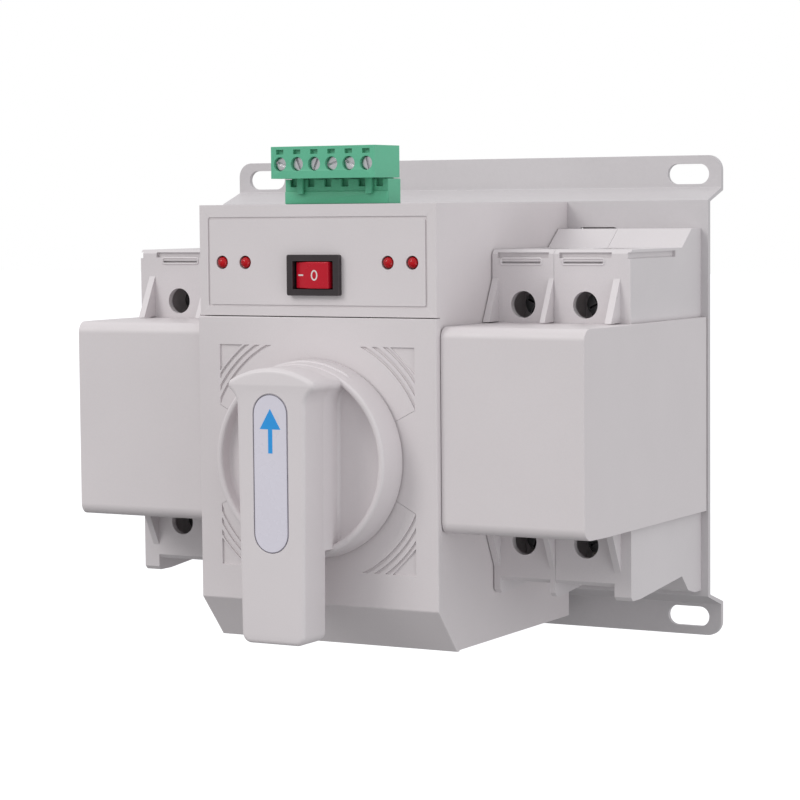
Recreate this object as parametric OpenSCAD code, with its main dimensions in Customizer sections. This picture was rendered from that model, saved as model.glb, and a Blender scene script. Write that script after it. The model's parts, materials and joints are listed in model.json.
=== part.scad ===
// Two-supply transfer switch: two switching modules on one wall plate, with a
// housing between them that holds a gear train, its motor and the turning handle.
// Frame: +Z up on the wall, +X right, -Y towards the user. The origin is the
// centre of the four wall slots, on the back face of the plate.

/* [Wall plate] */
// Width of the pressed steel plate
plate_w = 152; // [148:1:160]
// Height of the plate
plate_h = 130; // [126:1:140]
// Thickness of the sheet
plate_t = 1.5; // [1:0.1:2]
// How far the middle of the plate stands forward of the wall
plate_rise = 10.7; // [9:0.1:12]
// Distance between the wall slots across
slot_dx = 133; // [130:1:138]
// Distance between the wall slots up and down
slot_dz = 120; // [118:0.5:122]
// End-to-end length of a wall slot
slot_l = 12; // [10:0.5:14]
// Width of a wall slot
slot_w = 5.4; // [4.5:0.1:6]
// Height of the device centre above the slot centre
device_z = -4; // [-6:0.5:0]

/* [Housing] */
// Width of the middle housing
housing_w = 69.6; // [68:0.2:70]
// Height of the middle housing
housing_h = 113.4; // [112:0.2:115]
// Distance of its front face from the wall
housing_d = 87; // [86:0.2:88]
// Wall thickness of the mouldings
wall = 2; // [1.6:0.1:2.2]
// Height of the joint between control panel and front cover
seam_z = 28.2; // [27:0.2:30]
// Height at which the lower chamfer starts
chamfer_z = -45.5; // [-47:0.5:-44]
// How far back the lower chamfer goes
chamfer_d = 9.8; // [8:0.2:11]

/* [Switching modules] */
// Distance between the poles of a module
pole_pitch = 17.5; // [17:0.1:17.8]
// Distance of the first pole from the middle of the device
pole_x = 43.9; // [43:0.1:44.5]
// Outer face of a module
module_x = 73.9; // [73:0.1:74.2]
// Distance of the terminal shoulder from the wall
shoulder_d = 56.8; // [56:0.2:58]
// Height of a terminal screw above the device centre
screw_z = 30.6; // [30:0.2:31.5]
// Diameter of the screwdriver holes
screw_hole_d = 6.9; // [6:0.1:7.2]

/* [Side covers] */
// Outer face of a side cover
cover_x = 75.6; // [75.2:0.1:76]
// Height of a side cover
cover_h = 51.8; // [50:0.2:52.4]
// Distance of its front face from the wall
cover_d = 86; // [85:0.2:86.4]

/* [Handle] */
// Height of the handle shaft against the device centre
shaft_z = -8; // [-9:0.5:-7]
// Diameter of the handle disc
disc_d = 51; // [49:0.5:52]
// Width of the lever at the shaft
lever_w = 19.8; // [18:0.2:21]
// Distance of the lever's front face from the wall
lever_d = 110; // [108:0.2:112]
// Diameter of the handle shaft
shaft_d = 8; // [7:0.5:8]

/* [Hidden] */

round_fn = 48;
hole_fn = 32;
eps = 0.01;
play = 0.3;              // gap between pieces that must not touch
run_play = 0.05;         // radial clearance of a running fit
hw = housing_w / 2;
hh = housing_h / 2;
cover_front_d = housing_d + 0.6;
cover_back_d = cover_front_d - 2.3;
chamfer_back_d = cover_front_d - chamfer_d - 1.3;
cover_foot_z = -hh + 0.6;
seam = 0.1;              // gap between the housing and its front cover

// Gear train: module 1 teeth, all on axes that run front to back
pressure = 20;
tip_m = 0.8;
root_m = 1.1;
flank_play = 0.09;
drive_teeth = 18;
arm_teeth = 34;
main_teeth = 44;
idler_small_teeth = 12;
idler_large_teeth = 36;
motor_teeth = 12;
arm_pivot_dist = (drive_teeth + arm_teeth) / 2;
arm_pivot_x = sqrt(pow(arm_pivot_dist, 2) - pow(shaft_z, 2));
arm_mesh_angle = atan2(-shaft_z, arm_pivot_x);
idler_z = shaft_z + (main_teeth + idler_small_teeth) / 2;
motor_angle = 35;
motor_dist = (idler_large_teeth + motor_teeth) / 2;
motor_x = motor_dist * cos(motor_angle);
motor_z = idler_z + motor_dist * sin(motor_angle);

// Layers of the mechanism, as distances from the wall
front_plate_d = 74;
rear_plate_d = 56;
gear_plate_t = 1.6;
arm_layer = [79.2, 81.8];
main_layer = [65, 69];
idler_large_layer = [59.8, 63.4];
flag_layer = [58, 59];

// Toggle linkage
arm_reach = 13.5;
fork_pin_r = 1.2;
tie_bar_r = 2;
toggle_pivot_d = 62;
toggle_reach = 13.9;
fork_pin_offset = tie_bar_r + fork_pin_r + 0.4;
drive_tip_x = arm_pivot_x + arm_reach;
contact_pivot_d = 38;
contact_reach = 17;
contact_shaft_r = 2.6;

// Module profile
module_x0 = hw + play;
module_top = 44.6;
module_tail = 49.5;
module_foot = 47.4;
nose_d = 71;
nose_z = 22.4;
rib_top = 37.5;
rib_d = 62.4;
wire_w = 9;
wire_d = [31, 43];
joint_x = pole_x + pole_pitch / 2;   // where the two shells of a module meet
case_gap = 0.04;
rivet_r = 1.1;

// Control panel
led_x = [-28, -21, 21, 28];
led_z = 41.9;
rocker_z = 38.7;
rocker_w = 15.3;
rocker_h = 10.4;
rocker_tilt = 10;
rocker_pivot_d = housing_d - 1;

// Plug-in terminal
way_pitch = 5.08;
ways = 6;
plug_w = ways * way_pitch + 0.2;
plug_z = 63.3;
plug_h = 8.2;
plug_front_d = 82.9;
plug_back_d = 70;
header_front_d = 76;

// Places a piece that is drawn about the device centre
module device() translate([0, 0, device_z]) children();

// A piece and its mirror image on the other side of the device
module on_side(side) {
    if (side > 0) device() children();
    else device() mirror([1, 0, 0]) children();
}

// Extrudes a flat outline, drawn as seen from the front, between two distances from the wall
module slab(near, far) translate([0, -near, 0]) rotate([90, 0, 0]) linear_extrude(far - near) children();

// Extrudes an outline drawn as [distance from wall, height] from x0 to x1
module profile(x0, x1) translate([x0, 0, 0]) rotate([90, 0, -90]) mirror([0, 0, 1])
    linear_extrude(x1 - x0) children();

// A round bar along the shaft direction, between two distances from the wall
module rod(x, z, r, near, far, fn = hole_fn)
    translate([x, -near, z]) rotate([90, 0, 0]) cylinder(h = far - near, r = r, $fn = fn);

// A round bar across the device, from x0 to x1, at a distance d from the wall
module cross_rod(d, z, r, x0, x1, fn = hole_fn)
    translate([x0, -d, z]) rotate([0, 90, 0]) cylinder(h = x1 - x0, r = r, $fn = fn);

// Extrudes an outline drawn as [x, distance from wall] between two heights
module slab_up(low, high) translate([0, 0, low]) mirror([0, 1, 0]) linear_extrude(high - low) children();

// A box given by its limits; y limits are distances from the wall
module block(x, d, z) translate([x[0], -d[1], z[0]]) cube([x[1] - x[0], d[1] - d[0], z[1] - z[0]]);

// Angle that an involute has turned through when it reaches radius r
function unwind(r, base_r) = let (t = sqrt(max(0, pow(r / base_r, 2) - 1))) t * 180 / PI - atan(t);

// Half the angle of a tooth at radius r
function tooth_half(teeth, r) = let (pitch_r = teeth / 2, base_r = pitch_r * cos(pressure))
    90 / teeth + unwind(pitch_r, base_r) - unwind(max(r, base_r), base_r)
    - flank_play / pitch_r * 180 / PI;

// Outline of one tooth, centred on the angle a
function tooth(teeth, a) = let (
    pitch_r = teeth / 2,
    root_r = pitch_r - root_m,
    low_r = max(root_r + 0.05, pitch_r * cos(pressure)),
    tip_r = pitch_r + tip_m,
    radii = [root_r, low_r, (low_r + 2 * pitch_r) / 3, (pitch_r + tip_r) / 2, tip_r])
    concat([for (r = radii) [r, a - tooth_half(teeth, r)]],
        [for (i = [4:-1:0]) [radii[i], a + tooth_half(teeth, radii[i])]]);

// A gear outline; one tooth is centred on the angle phase. first and count pick part of the rim
module gear(teeth, phase, first = 0, count = 0) {
    step = 360 / teeth;
    total = count > 0 ? count : teeth;
    polar = [for (i = [first:first + total - 1]) for (p = tooth(teeth, phase + i * step)) p];
    rim = [for (p = polar) [p[0] * cos(p[1]), p[0] * sin(p[1])]];
    polygon(count > 0 ? concat(rim, [[0, 0]]) : rim);
}

// A rounded rectangle made of a cross and four discs
module round_rect(w, h, r) {
    square([w - 2 * r, h], center = true);
    square([w, h - 2 * r], center = true);
    for (x = [-1, 1], z = [-1, 1])
        translate([x * (w / 2 - r), z * (h / 2 - r)]) circle(r, $fn = hole_fn);
}

// A slot with round ends, l long and w wide
module slot(l, w) {
    square([l - w, w], center = true);
    for (x = [-1, 1]) translate([x * (l - w) / 2, 0]) circle(w / 2, $fn = hole_fn);
}

// Head and shank of a slotted or crossed screw along the shaft direction, head at the front
module pan_screw(x, z, head_d, head_r, head_h, r, tail_d, slot_angle = 0) difference() {
    union() {
        rod(x, z, head_r, head_d - head_h, head_d);
        rod(x, z, r, tail_d, head_d - head_h + eps);
    }
    translate([x, -head_d, z]) rotate([0, slot_angle, 0])
        cube([head_r * 1.7, head_h, 0.5], center = true);
    translate([x, -head_d, z]) rotate([0, slot_angle + 90, 0])
        cube([head_r * 1.7, head_h, 0.5], center = true);
}

hook_x = 44;
hook_z = 48.4;
hook_back_d = plate_rise - plate_t - 1.3;
post_x = 28;
post_z = [-32, 14];
breaker_screw_x = 57.5;
breaker_screw_z = 34;
housing_screw_x = 29;
housing_screw_z = [-44, 49.5];

// Pressed steel plate: two wall flanges, and a middle that stands forward
module base_plate() color("gainsboro") difference() {
    half = plate_h / 2;
    flange = half - 9.4;
    top = flange - 3;
    intersection() {
        profile(-plate_w / 2, plate_w / 2) polygon([
            [0, half], [plate_t, half], [plate_t, flange + 0.7],
            [plate_rise, top + 0.5], [plate_rise, -top - 0.5],
            [plate_t, -flange - 0.7], [plate_t, -half], [0, -half],
            [0, -flange], [plate_rise - plate_t, -top], [plate_rise - plate_t, top], [0, flange]]);
        slab(-1, plate_rise + 1) round_rect(plate_w, plate_h, 4);
    }
    for (x = [-1, 1], z = [-1, 1]) {
        translate([x * slot_dx / 2, 0, z * slot_dz / 2]) slab(-1, plate_rise + 1) slot(slot_l, slot_w);
        rod(x * breaker_screw_x, device_z + z * breaker_screw_z, 2.15, -1, plate_rise + 1);
    }
    for (x = [-1, 1], z = post_z) rod(x * post_x, device_z + z, 1.7, -1, plate_rise + 1);
    for (x = [-1, 1], z = housing_screw_z)
        rod(x * housing_screw_x, device_z + z, 1.7, -1, plate_rise + 1);
    for (x = [-1, 1]) translate([x * hook_x, 0, device_z + hook_z]) slab(-1, plate_rise + 1) slot(12, 3);
}

// Side outline of the middle housing, shrunk by t
module housing_outline(t, front) polygon([
    [plate_rise, -hh + t], [cover_front_d - chamfer_d - t * 0.4, -hh + t],
    [front - t, chamfer_z + t * 0.5], [front - t, hh - t], [plate_rise, hh - t]]);

// Moulded middle housing: sides, top, bottom and the control panel in one piece
module housing() color("lightgray") device() difference() {
    union() {
        difference() {
            profile(-hw, hw) housing_outline(0, housing_d);
            translate([0, -eps, 0]) profile(-hw + wall, hw - wall) polygon([
                [plate_rise - 1, -hh + wall], [housing_d, -hh + wall],
                [housing_d, seam_z], [housing_d - wall, seam_z],
                [housing_d - wall, hh - wall], [plate_rise - 1, hh - wall]]);
        }
        for (x = [-1, 1], z = housing_screw_z) {
            rod(x * housing_screw_x, z, 3.2, plate_rise, 24);
            block([x * 31.5 - 2, x * 31.5 + 2], [plate_rise, 24], [z - 3, z + 3]);
        }
        // Rails under the control board and pegs for the lamp board
        for (x = [-1, 1]) block([x * 31.5 - 2, x * 31.5 + 2], [26, 80], [49.4, 51]);
        for (x = [-1, 1], z = [38.2, 45.6]) rod(x * 30, z, 1, 80.9, housing_d - wall + eps);
    }
    // Opening for the front cover
    profile(-hw - 1, hw + 1) polygon([
        [cover_back_d - seam, seam_z], [housing_d + 4, seam_z], [housing_d + 4, -hh - 1],
        [chamfer_back_d - seam, -hh - 1], [chamfer_back_d - seam, cover_foot_z + seam],
        [cover_back_d - seam, chamfer_z - 0.5]]);
    // Shallow frame pressed into the panel
    difference() {
        translate([0, 0, 42]) slab(housing_d - 0.35, housing_d + 1) round_rect(64.6, 23.1, 0.6);
        translate([0, 0, 42]) slab(housing_d - 1, housing_d + 2) round_rect(63.4, 21.9, 0.6);
    }
    for (x = led_x) rod(x, led_z, 1.75, housing_d - wall - 1, housing_d + 1);
    translate([0, 0, rocker_z]) slab(housing_d - wall - 1, housing_d + 1) square([13.2, 8.8], center = true);
    for (x = [-1, 1], z = housing_screw_z) rod(x * housing_screw_x, z, 1.2, plate_rise - 1, 22);
    // Windows for the drive arms
    block([-hw - 1, hw + 1], [72, 83.4], [-13, 13]);
    // Slot for the terminal pins
    block([-14.6, 14.6], [header_front_d - 5.4, header_front_d - 1.4], [hh - wall - 1, hh + 1]);
}

corner_region = 59.4;
groove_radii = [31.9, 33.5, 35.2, 36.8];

// Moulded front cover below the panel, with ring grooves about the handle in its corners
module front_cover() color("lightgray") device() difference() {
    profile(-hw - 0.3, hw + 0.3) polygon([
        [cover_front_d, seam_z - 0.25], [cover_front_d, chamfer_z],
        [cover_front_d - chamfer_d, -hh - 0.2], [chamfer_back_d, -hh - 0.2],
        [chamfer_back_d, cover_foot_z], [cover_back_d, chamfer_z - 0.6],
        [cover_back_d, seam_z - 0.25]]);
    rod(0, shaft_z, 6.5, cover_front_d - 3, cover_front_d + 1, round_fn);
    difference() {
        translate([0, 0, shaft_z]) slab(cover_front_d - 0.5, cover_front_d + 1) intersection() {
            square(corner_region - 2, center = true);
            union() {
                for (r = groove_radii) difference() {
                    circle(r + 0.4, $fn = 96);
                    circle(r - 0.4, $fn = 96);
                }
                difference() {
                    square(corner_region, center = true);
                    rotate(45) square(71.6, center = true);
                }
            }
        }
        block([-13.2, 13.2], [80, 90], [-60, 40]);
        block([-40, 40], [80, 90], [shaft_z - 12.2, shaft_z + 12.2]);
    }
}

// Flanged bronze bush that carries the shaft in the front cover
module shaft_bush() color("peru") device() difference() {
    union() {
        rod(0, shaft_z, 6.5, cover_front_d - 5, cover_front_d - 0.2, round_fn);
        rod(0, shaft_z, 8.5, cover_front_d - 5, cover_back_d, round_fn);
    }
    rod(0, shaft_z, shaft_d / 2 + run_play, cover_front_d - 6, cover_front_d + 1, round_fn);
}

// Front steel plate of the gear train
module front_gear_plate() color("silver") device() difference() {
    slab(front_plate_d - gear_plate_t, front_plate_d) difference() {
        translate([0, -4]) square([62, 68], center = true);
        translate([0, shaft_z]) circle(5.5, $fn = hole_fn);
        translate([0, idler_z]) circle(1.5, $fn = hole_fn);
        for (x = [-1, 1]) translate([x * arm_pivot_x, 0]) circle(2, $fn = hole_fn);
        for (x = [-1, 1], z = post_z) translate([x * post_x, z]) circle(1.6, $fn = hole_fn);
    }
}

// Rear steel plate of the gear train, which also holds the motor
module rear_gear_plate() color("silver") device() slab(rear_plate_d - gear_plate_t, rear_plate_d)
    difference() {
        union() {
            translate([0, -4]) square([62, 68], center = true);
            translate([motor_x - 12, 20]) square([23, 25.5]);
        }
        translate([0, shaft_z]) circle(5.5, $fn = hole_fn);
        translate([0, idler_z]) circle(1.5, $fn = hole_fn);
        translate([motor_x, motor_z]) circle(4.2, $fn = hole_fn);
        for (x = [-1, 1]) translate([motor_x + x * 8, motor_z]) circle(1.3, $fn = hole_fn);
        for (x = [-1, 1], z = post_z) translate([x * post_x, z]) circle(2.5, $fn = hole_fn);
    }

// Four turned posts between the wall plate and the gear plates
module frame_posts() color("silver") device() for (x = [-1, 1], z = post_z) difference() {
    union() {
        rod(x * post_x, z, 3.3, plate_rise, rear_plate_d - gear_plate_t);
        rod(x * post_x, z, 2.5, rear_plate_d - gear_plate_t - eps, front_plate_d - gear_plate_t);
    }
    rod(x * post_x, z, 1.25, plate_rise - 1, plate_rise + 10);
    rod(x * post_x, z, 1.25, front_plate_d - 9, front_plate_d + 1);
}

// Screws at both ends of the posts
module post_screws() color("dimgray") for (x = [-1, 1], z = post_z) {
    device() pan_screw(x * post_x, z, front_plate_d + 2, 2.7, 2, 1.25, front_plate_d - 8);
    device() difference() {
        union() {
            rod(x * post_x, z, 2.7, plate_rise - plate_t - 1.9, plate_rise - plate_t);
            rod(x * post_x, z, 1.25, plate_rise - plate_t - eps, plate_rise + 9);
        }
        translate([x * post_x, -(plate_rise - plate_t - 1.9), z]) cube([4.6, 1.6, 0.5], center = true);
    }
}

// Bronze bushes pressed into both gear plates
module plate_bushes() color("peru") device() for (d = [rear_plate_d, front_plate_d]) difference() {
    union() {
        rod(0, shaft_z, 5.5, d - gear_plate_t, d, round_fn);
        rod(0, shaft_z, 7, d - gear_plate_t - 1.2, d - gear_plate_t, round_fn);
    }
    rod(0, shaft_z, shaft_d / 2 + run_play, d - 4, d + 1, round_fn);
}

// Small geared motor with its output boss
module gear_motor() color("dimgray") device() difference() {
    union() {
        rod(motor_x, motor_z, 11.8, 18, rear_plate_d - gear_plate_t, round_fn);
        rod(motor_x, motor_z, 4.1, rear_plate_d - gear_plate_t - eps, rear_plate_d, round_fn);
        rod(motor_x, motor_z, 5, 15.5, 18 + eps, round_fn);
        for (x = [-1, 1]) block([motor_x + x * 7 - 1.2, motor_x + x * 7 + 1.2], [13, 18 + eps],
            [motor_z - 0.3, motor_z + 0.3]);
    }
    rod(motor_x, motor_z, 1.5 + run_play, rear_plate_d - 12, rear_plate_d + 1, round_fn);
    for (x = [-1, 1]) rod(motor_x + x * 8, motor_z, 1.2, rear_plate_d - 6, rear_plate_d);
}

// Two screws that hold the motor to the rear gear plate
module motor_screws() color("silver") device() for (x = [-1, 1])
    pan_screw(motor_x + x * 8, motor_z, rear_plate_d + 1.3, 2.1, 1.3, 1.2, rear_plate_d - 5);

// Fixed steel pin that the idler turns on
module idler_pin() color("silver") device()
    rod(0, idler_z, 1.5, rear_plate_d - gear_plate_t, front_plate_d, round_fn);

// Fixed pins that the two drive arms swing on
module arm_pivot_pins() color("silver") device() for (x = [-1, 1]) difference() {
    rod(x * arm_pivot_x, 0, 2, front_plate_d - gear_plate_t, 84, round_fn);
    translate([x * arm_pivot_x, 0, 0]) rotate([90, 0, 0]) translate([0, 0, 82.6]) difference() {
        cylinder(h = 0.6, r = 3, $fn = round_fn);
        translate([0, 0, -1]) cylinder(h = 3, r = 1.6, $fn = round_fn);
    }
}

// Spring clips in the pin grooves
module pivot_clips() color("dimgray") device() for (x = [-1, 1])
    translate([x * arm_pivot_x, 0, 0]) slab(82.6, 83.2) difference() {
        circle(3.4, $fn = round_fn);
        circle(1.6, $fn = round_fn);
        translate([x * 2.2, 0]) square([4.4, 2], center = true);
    }

sensor_angle = 45;
flag_r = 14;

// Two slotted sensors that the flag on the shaft passes through
module position_sensors() color("black") device() for (x = [-1, 1])
    translate([0, 0, shaft_z]) rotate([0, x * sensor_angle, 0]) translate([0, 0, -flag_r])
        difference() {
            block([-3, 3], [rear_plate_d, 61.6], [-5, 3.4]);
            block([-4, 4], [rear_plate_d + 1.4, 59.8], [-1.5, 4]);
        }

// Control board under the top of the housing
module control_board() color("darkgreen") device() difference() {
    block([-30, 30], [26, 82], [51, 52.6]);
    for (i = [0:ways - 1])
        translate([(i - (ways - 1) / 2) * way_pitch, -(header_front_d - 3.4), 50])
            cylinder(h = 4, r = 0.7, $fn = hole_fn);
}

// Two sealed relays under the board
module board_relays() color("royalblue") device() for (d = [27, 38])
    block([-28, -9], [d, d + 10], [35.6, 51]);

// Narrow board that carries the indicator lamps and the rocker
module indicator_board() color("darkgreen") device() slab(79.4, 80.9) difference() {
    translate([0, 42]) square([63, 12.4], center = true);
    translate([0, rocker_z]) square([15, 11.4], center = true);
    for (x = led_x, s = [-1, 1]) translate([x + s * 1.27, led_z]) circle(0.4, $fn = 16);
}

// Four red 3 mm indicator lamps with their legs
module indicator_leds() color("red") device() for (x = led_x) {
    translate([x, 0, led_z]) rotate([90, 0, 0]) rotate_extrude($fn = round_fn) polygon(concat(
        [[0, 80.9], [1.9, 80.9], [1.9, 81.9], [1.5, 81.9]],
        [for (a = [0:15:90]) [1.5 * cos(a), 86.2 + 1.5 * sin(a)]]));
    for (s = [-1, 1]) rod(x + s * 1.27, led_z, 0.3, 78, 81, 16);
}

// Black body and frame of the rocker switch
module rocker_body() color("black") device() translate([0, 0, rocker_z]) difference() {
    union() {
        slab(housing_d, housing_d + 1.5) round_rect(rocker_w, rocker_h, 0.5);
        slab(73, housing_d + eps) square([13, 8.6], center = true);
        for (x = [-4.4, 0, 4.4]) block([x - 0.4, x + 0.4], [67.5, 73 + eps], [-2.2, 2.2]);
    }
    slab(rocker_pivot_d - 4.6, housing_d + 2) square([11.9, 7.2], center = true);
    translate([0, -rocker_pivot_d, 0]) cylinder(h = 8.2, r = 0.85, center = true, $fn = hole_fn);
}

// Red rocker; its left end is pressed in, so the whole key is turned about its pins
module rocker_key() color("red") device() translate([0, -rocker_pivot_d, rocker_z])
    rotate([0, 0, -rocker_tilt]) {
        translate([0, 0, -3.4]) linear_extrude(6.8)
            polygon([[-5.3, -2.2], [0, -3.1], [5.3, -2.2], [5.2, 1.2], [2.2, 2.6], [-2.2, 2.6],
                [-5.2, 1.2]]);
        cylinder(h = 8, r = 0.8, center = true, $fn = hole_fn);
    }

// Fixed half of the plug-in terminal, a box open at the top
module terminal_header() color("mediumseagreen") device() difference() {
    block([-plug_w / 2, plug_w / 2], [plug_back_d - 0.6, header_front_d], [hh, plug_z - 0.2]);
    block([-plug_w / 2 + 1, plug_w / 2 - 1], [plug_back_d + 0.6, header_front_d - 1], [hh + 1.6, plug_z]);
    for (i = [0:ways - 1]) translate([(i - (ways - 1) / 2) * way_pitch, 0, 0]) {
        block([-1, 1], [header_front_d - 1.5, header_front_d + 1], [61.2, plug_z]);
        block([-0.5, 0.5], [header_front_d - 3.9, header_front_d - 2.9], [hh - 1, hh + 3]);
    }
}

// Six pins from the board up into the plug
module header_pins() color("silver") device() for (i = [0:ways - 1])
    block([(i - (ways - 1) / 2) * way_pitch - 0.5, (i - (ways - 1) / 2) * way_pitch + 0.5],
        [header_front_d - 3.9, header_front_d - 2.9], [49.8, plug_z + 1.9]);

plug_screw_z = plug_z + 3.7;

// Loose half of the terminal: clamps for six wires that enter from above
module terminal_plug() color("mediumseagreen") device() difference() {
    union() {
        block([-plug_w / 2, plug_w / 2], [plug_back_d, plug_front_d], [plug_z, plug_z + plug_h]);
        block([-plug_w / 2 + 1.3, plug_w / 2 - 1.3], [plug_back_d + 0.9, header_front_d - 1.3],
            [hh + 1.9, plug_z + eps]);
    }
    for (i = [0:ways - 1]) translate([(i - (ways - 1) / 2) * way_pitch, 0, 0]) {
        rod(0, plug_screw_z, 1.8, plug_front_d - 4, plug_front_d + 1);
        block([-1.8, 1.8], [plug_back_d + 1.6, plug_front_d - 4 + eps],
            [plug_z + 1.6, plug_z + plug_h + 1]);
        block([-1.1, 1.1], [plug_front_d - 1, plug_front_d + 1], [plug_z + 6.2, plug_z + 7.4]);
        block([-0.9, 0.9], [header_front_d - 4.3, header_front_d - 2.5], [hh, plug_z + 4]);
    }
}

// Clamp screws of the plug, seen in the round holes of its front
module plug_screws() color("silver") device() for (i = [0:ways - 1])
    translate([(i - (ways - 1) / 2) * way_pitch, 0, plug_screw_z]) difference() {
        union() {
            rod(0, 0, 1.65, plug_front_d - 2.8, plug_front_d - 1);
            rod(0, 0, 0.9, plug_front_d - 7, plug_front_d - 2.8 + eps);
        }
        translate([0, -(plug_front_d - 1), 0]) rotate([0, 20 + 47 * i, 0])
            cube([3.1, 1.2, 0.6], center = true);
    }

// Metal wire clamps inside the plug
module plug_clamps() color("silver") device() for (i = [0:ways - 1])
    translate([(i - (ways - 1) / 2) * way_pitch, 0, plug_screw_z]) difference() {
        block([-1.6, 1.6], [plug_back_d + 1.8, plug_front_d - 4.4], [-1.5, 2]);
        block([-1, 1], [plug_back_d + 2.4, plug_front_d - 7.2], [-2, 3]);
        rod(0, 0, 0.9, plug_front_d - 8, plug_front_d);
    }

// Side outline of a switching module, as [distance from wall, height]
module case_outline() polygon([
    [plate_rise, -module_foot], [15, -module_foot], [19.6, -46.2], [24, -41.8], [25, -41],
    [shoulder_d - 1, -41], [shoulder_d, -40], [shoulder_d, -nose_z], [nose_d, -nose_z],
    [nose_d, nose_z], [shoulder_d, nose_z], [shoulder_d, module_top - 1],
    [shoulder_d - 1, module_top], [23.5, module_top], [17, module_tail], [plate_rise, module_tail]]);

// Walls between the wire entries at the foot of a module
module foot_outline() polygon([
    [20, -40], [24, -42], [shoulder_d - 6, -44.4], [shoulder_d - 1, -44.4], [shoulder_d, -43.4],
    [shoulder_d, -39], [20, -39]]);

// Triangular barrier between the terminals
module rib_outline() for (z = [-1, 1]) polygon([
    [shoulder_d - 0.1, z * rib_top], [rib_d, z * (cover_h / 2 + play)],
    [shoulder_d - 0.1, z * (cover_h / 2 + play)]]);

function pole(i) = pole_x + i * pole_pitch;

// Inner space of a pole, as an outline of [distance from wall, height], grown by t
module chamber_outline(t) {
    translate([14 - t, -21 - t]) square([shoulder_d - 16 + 2 * t, 42 + 2 * t]);
    translate([shoulder_d - 3, -20.4 - t]) square([nose_d - shoulder_d + 1 + t, 40.8 + 2 * t]);
}

// Where the rivets pass, as [distance from wall, height]
rivet_places = [for (d = [24, 47], z = [-23.6, 23.6]) [d, z]];

// Moulded shell round one pole, open where it meets the other shell of its module
module pole_case(side, i) color("whitesmoke") on_side(side) difference() {
    low = i == 0 ? module_x0 : joint_x + case_gap;
    high = i == 0 ? joint_x - case_gap : module_x;
    ribs = i == 0 ? [[low, low + 1.8], [high - 1.4, high]]
        : [[pole(1) + pole_pitch / 2 - 0.9, pole(1) + pole_pitch / 2 + 0.9]];
    union() {
        profile(low, high) case_outline();
        for (r = ribs) profile(r[0], r[1]) {
            rib_outline();
            foot_outline();
        }
        if (i == 1) profile(pole(1) + pole_pitch / 2, high) foot_outline();
        // Hook that passes through the slot and turns up behind the plate
        if (i == 0) {
            block([hook_x - 5.2, hook_x + 5.2], [hook_back_d, plate_rise + eps], [hook_z - 1.1, hook_z]);
            block([hook_x - 5.2, hook_x + 5.2], [hook_back_d, plate_rise - plate_t - 0.1],
                [hook_z - 1.1, hook_z + 2.4]);
        }
    }
    if (i == 0) {
        profile(pole(0) - 7.4, joint_x) chamber_outline(0);
        profile(joint_x - 0.7, joint_x) chamber_outline(0.8);
    } else {
        profile(joint_x, pole(1) + 7.4) chamber_outline(0);
        profile(joint_x, joint_x + 0.7) chamber_outline(0.8);
    }
    // Opening for the toggle, screwdriver holes, terminal chambers and grooves along the upper edge
    block([pole(i) - 2.9, pole(i) + 2.9], [nose_d - 3, nose_d + 1], [-9.5, 9.5]);
    for (z = [-1, 1]) {
        rod(pole(i), z * screw_z, screw_hole_d / 2, wire_d[0], shoulder_d + 1, round_fn);
        block([pole(i) - wire_w / 2, pole(i) + wire_w / 2], wire_d, z > 0 ? [24, 60] : [-60, -24]);
        block([pole(i) - 6.2, pole(i) + 6.2], [wire_d[1] - eps, shoulder_d - 1.8],
            z > 0 ? [25.6, 37.6] : [-37.6, -25.6]);
    }
    block([pole(i) - 7.3, pole(i) + 7.3], [shoulder_d - 1, shoulder_d + 1], [42.5, 43.9]);
    block([pole(i) - 6, pole(i) + 5], [shoulder_d - 0.8, shoulder_d + 1], [40.6, 41.6]);
    block([module_x - 0.8, module_x + 1], [28, shoulder_d + 1], [42.3, 43.9]);
    // Bores for the toggle pin, the contact shaft, the rivets and the screws from the plate
    cross_rod(toggle_pivot_d, 0, 1.5, module_x0 - 1, module_x - 2);
    cross_rod(contact_pivot_d, 0, contact_shaft_r + run_play, pole(0) - 8.3, pole(1) + 8.3);
    for (r = rivet_places) {
        cross_rod(r[0], r[1], rivet_r, module_x0 - 1, module_x + 1);
        cross_rod(r[0], r[1], rivet_r + 1.1, module_x0 - 1, module_x0 + 1.4);
        cross_rod(r[0], r[1], rivet_r + 1.1, module_x - 1.4, module_x + 1);
    }
    for (z = [-1, 1]) rod(breaker_screw_x, z * breaker_screw_z, 1.6, plate_rise - 1, 22);
}

module left_inner_case() pole_case(-1, 0);
module left_outer_case() pole_case(-1, 1);
module right_inner_case() pole_case(1, 0);
module right_outer_case() pole_case(1, 1);

// Insulating plate between the poles of each module, held in a rebate of both shells
module pole_partitions() color("linen") for (side = [-1, 1]) on_side(side) difference() {
    profile(joint_x - 0.65, joint_x + 0.65) chamber_outline(0.75);
    cross_rod(toggle_pivot_d, 0, 1.5, joint_x - 2, joint_x + 2);
    cross_rod(contact_pivot_d, 0, contact_shaft_r + run_play, joint_x - 2, joint_x + 2);
}

// Steel rivets that hold the two shells of each module together
module case_rivets() color("silver") for (side = [-1, 1]) on_side(side) for (r = rivet_places) {
    cross_rod(r[0], r[1], rivet_r, module_x0 + 0.6, module_x - 0.6);
    cross_rod(r[0], r[1], rivet_r + 0.9, module_x0 + 0.6, module_x0 + 1.4);
    cross_rod(r[0], r[1], rivet_r + 0.9, module_x - 1.4, module_x - 0.6);
}

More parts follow.
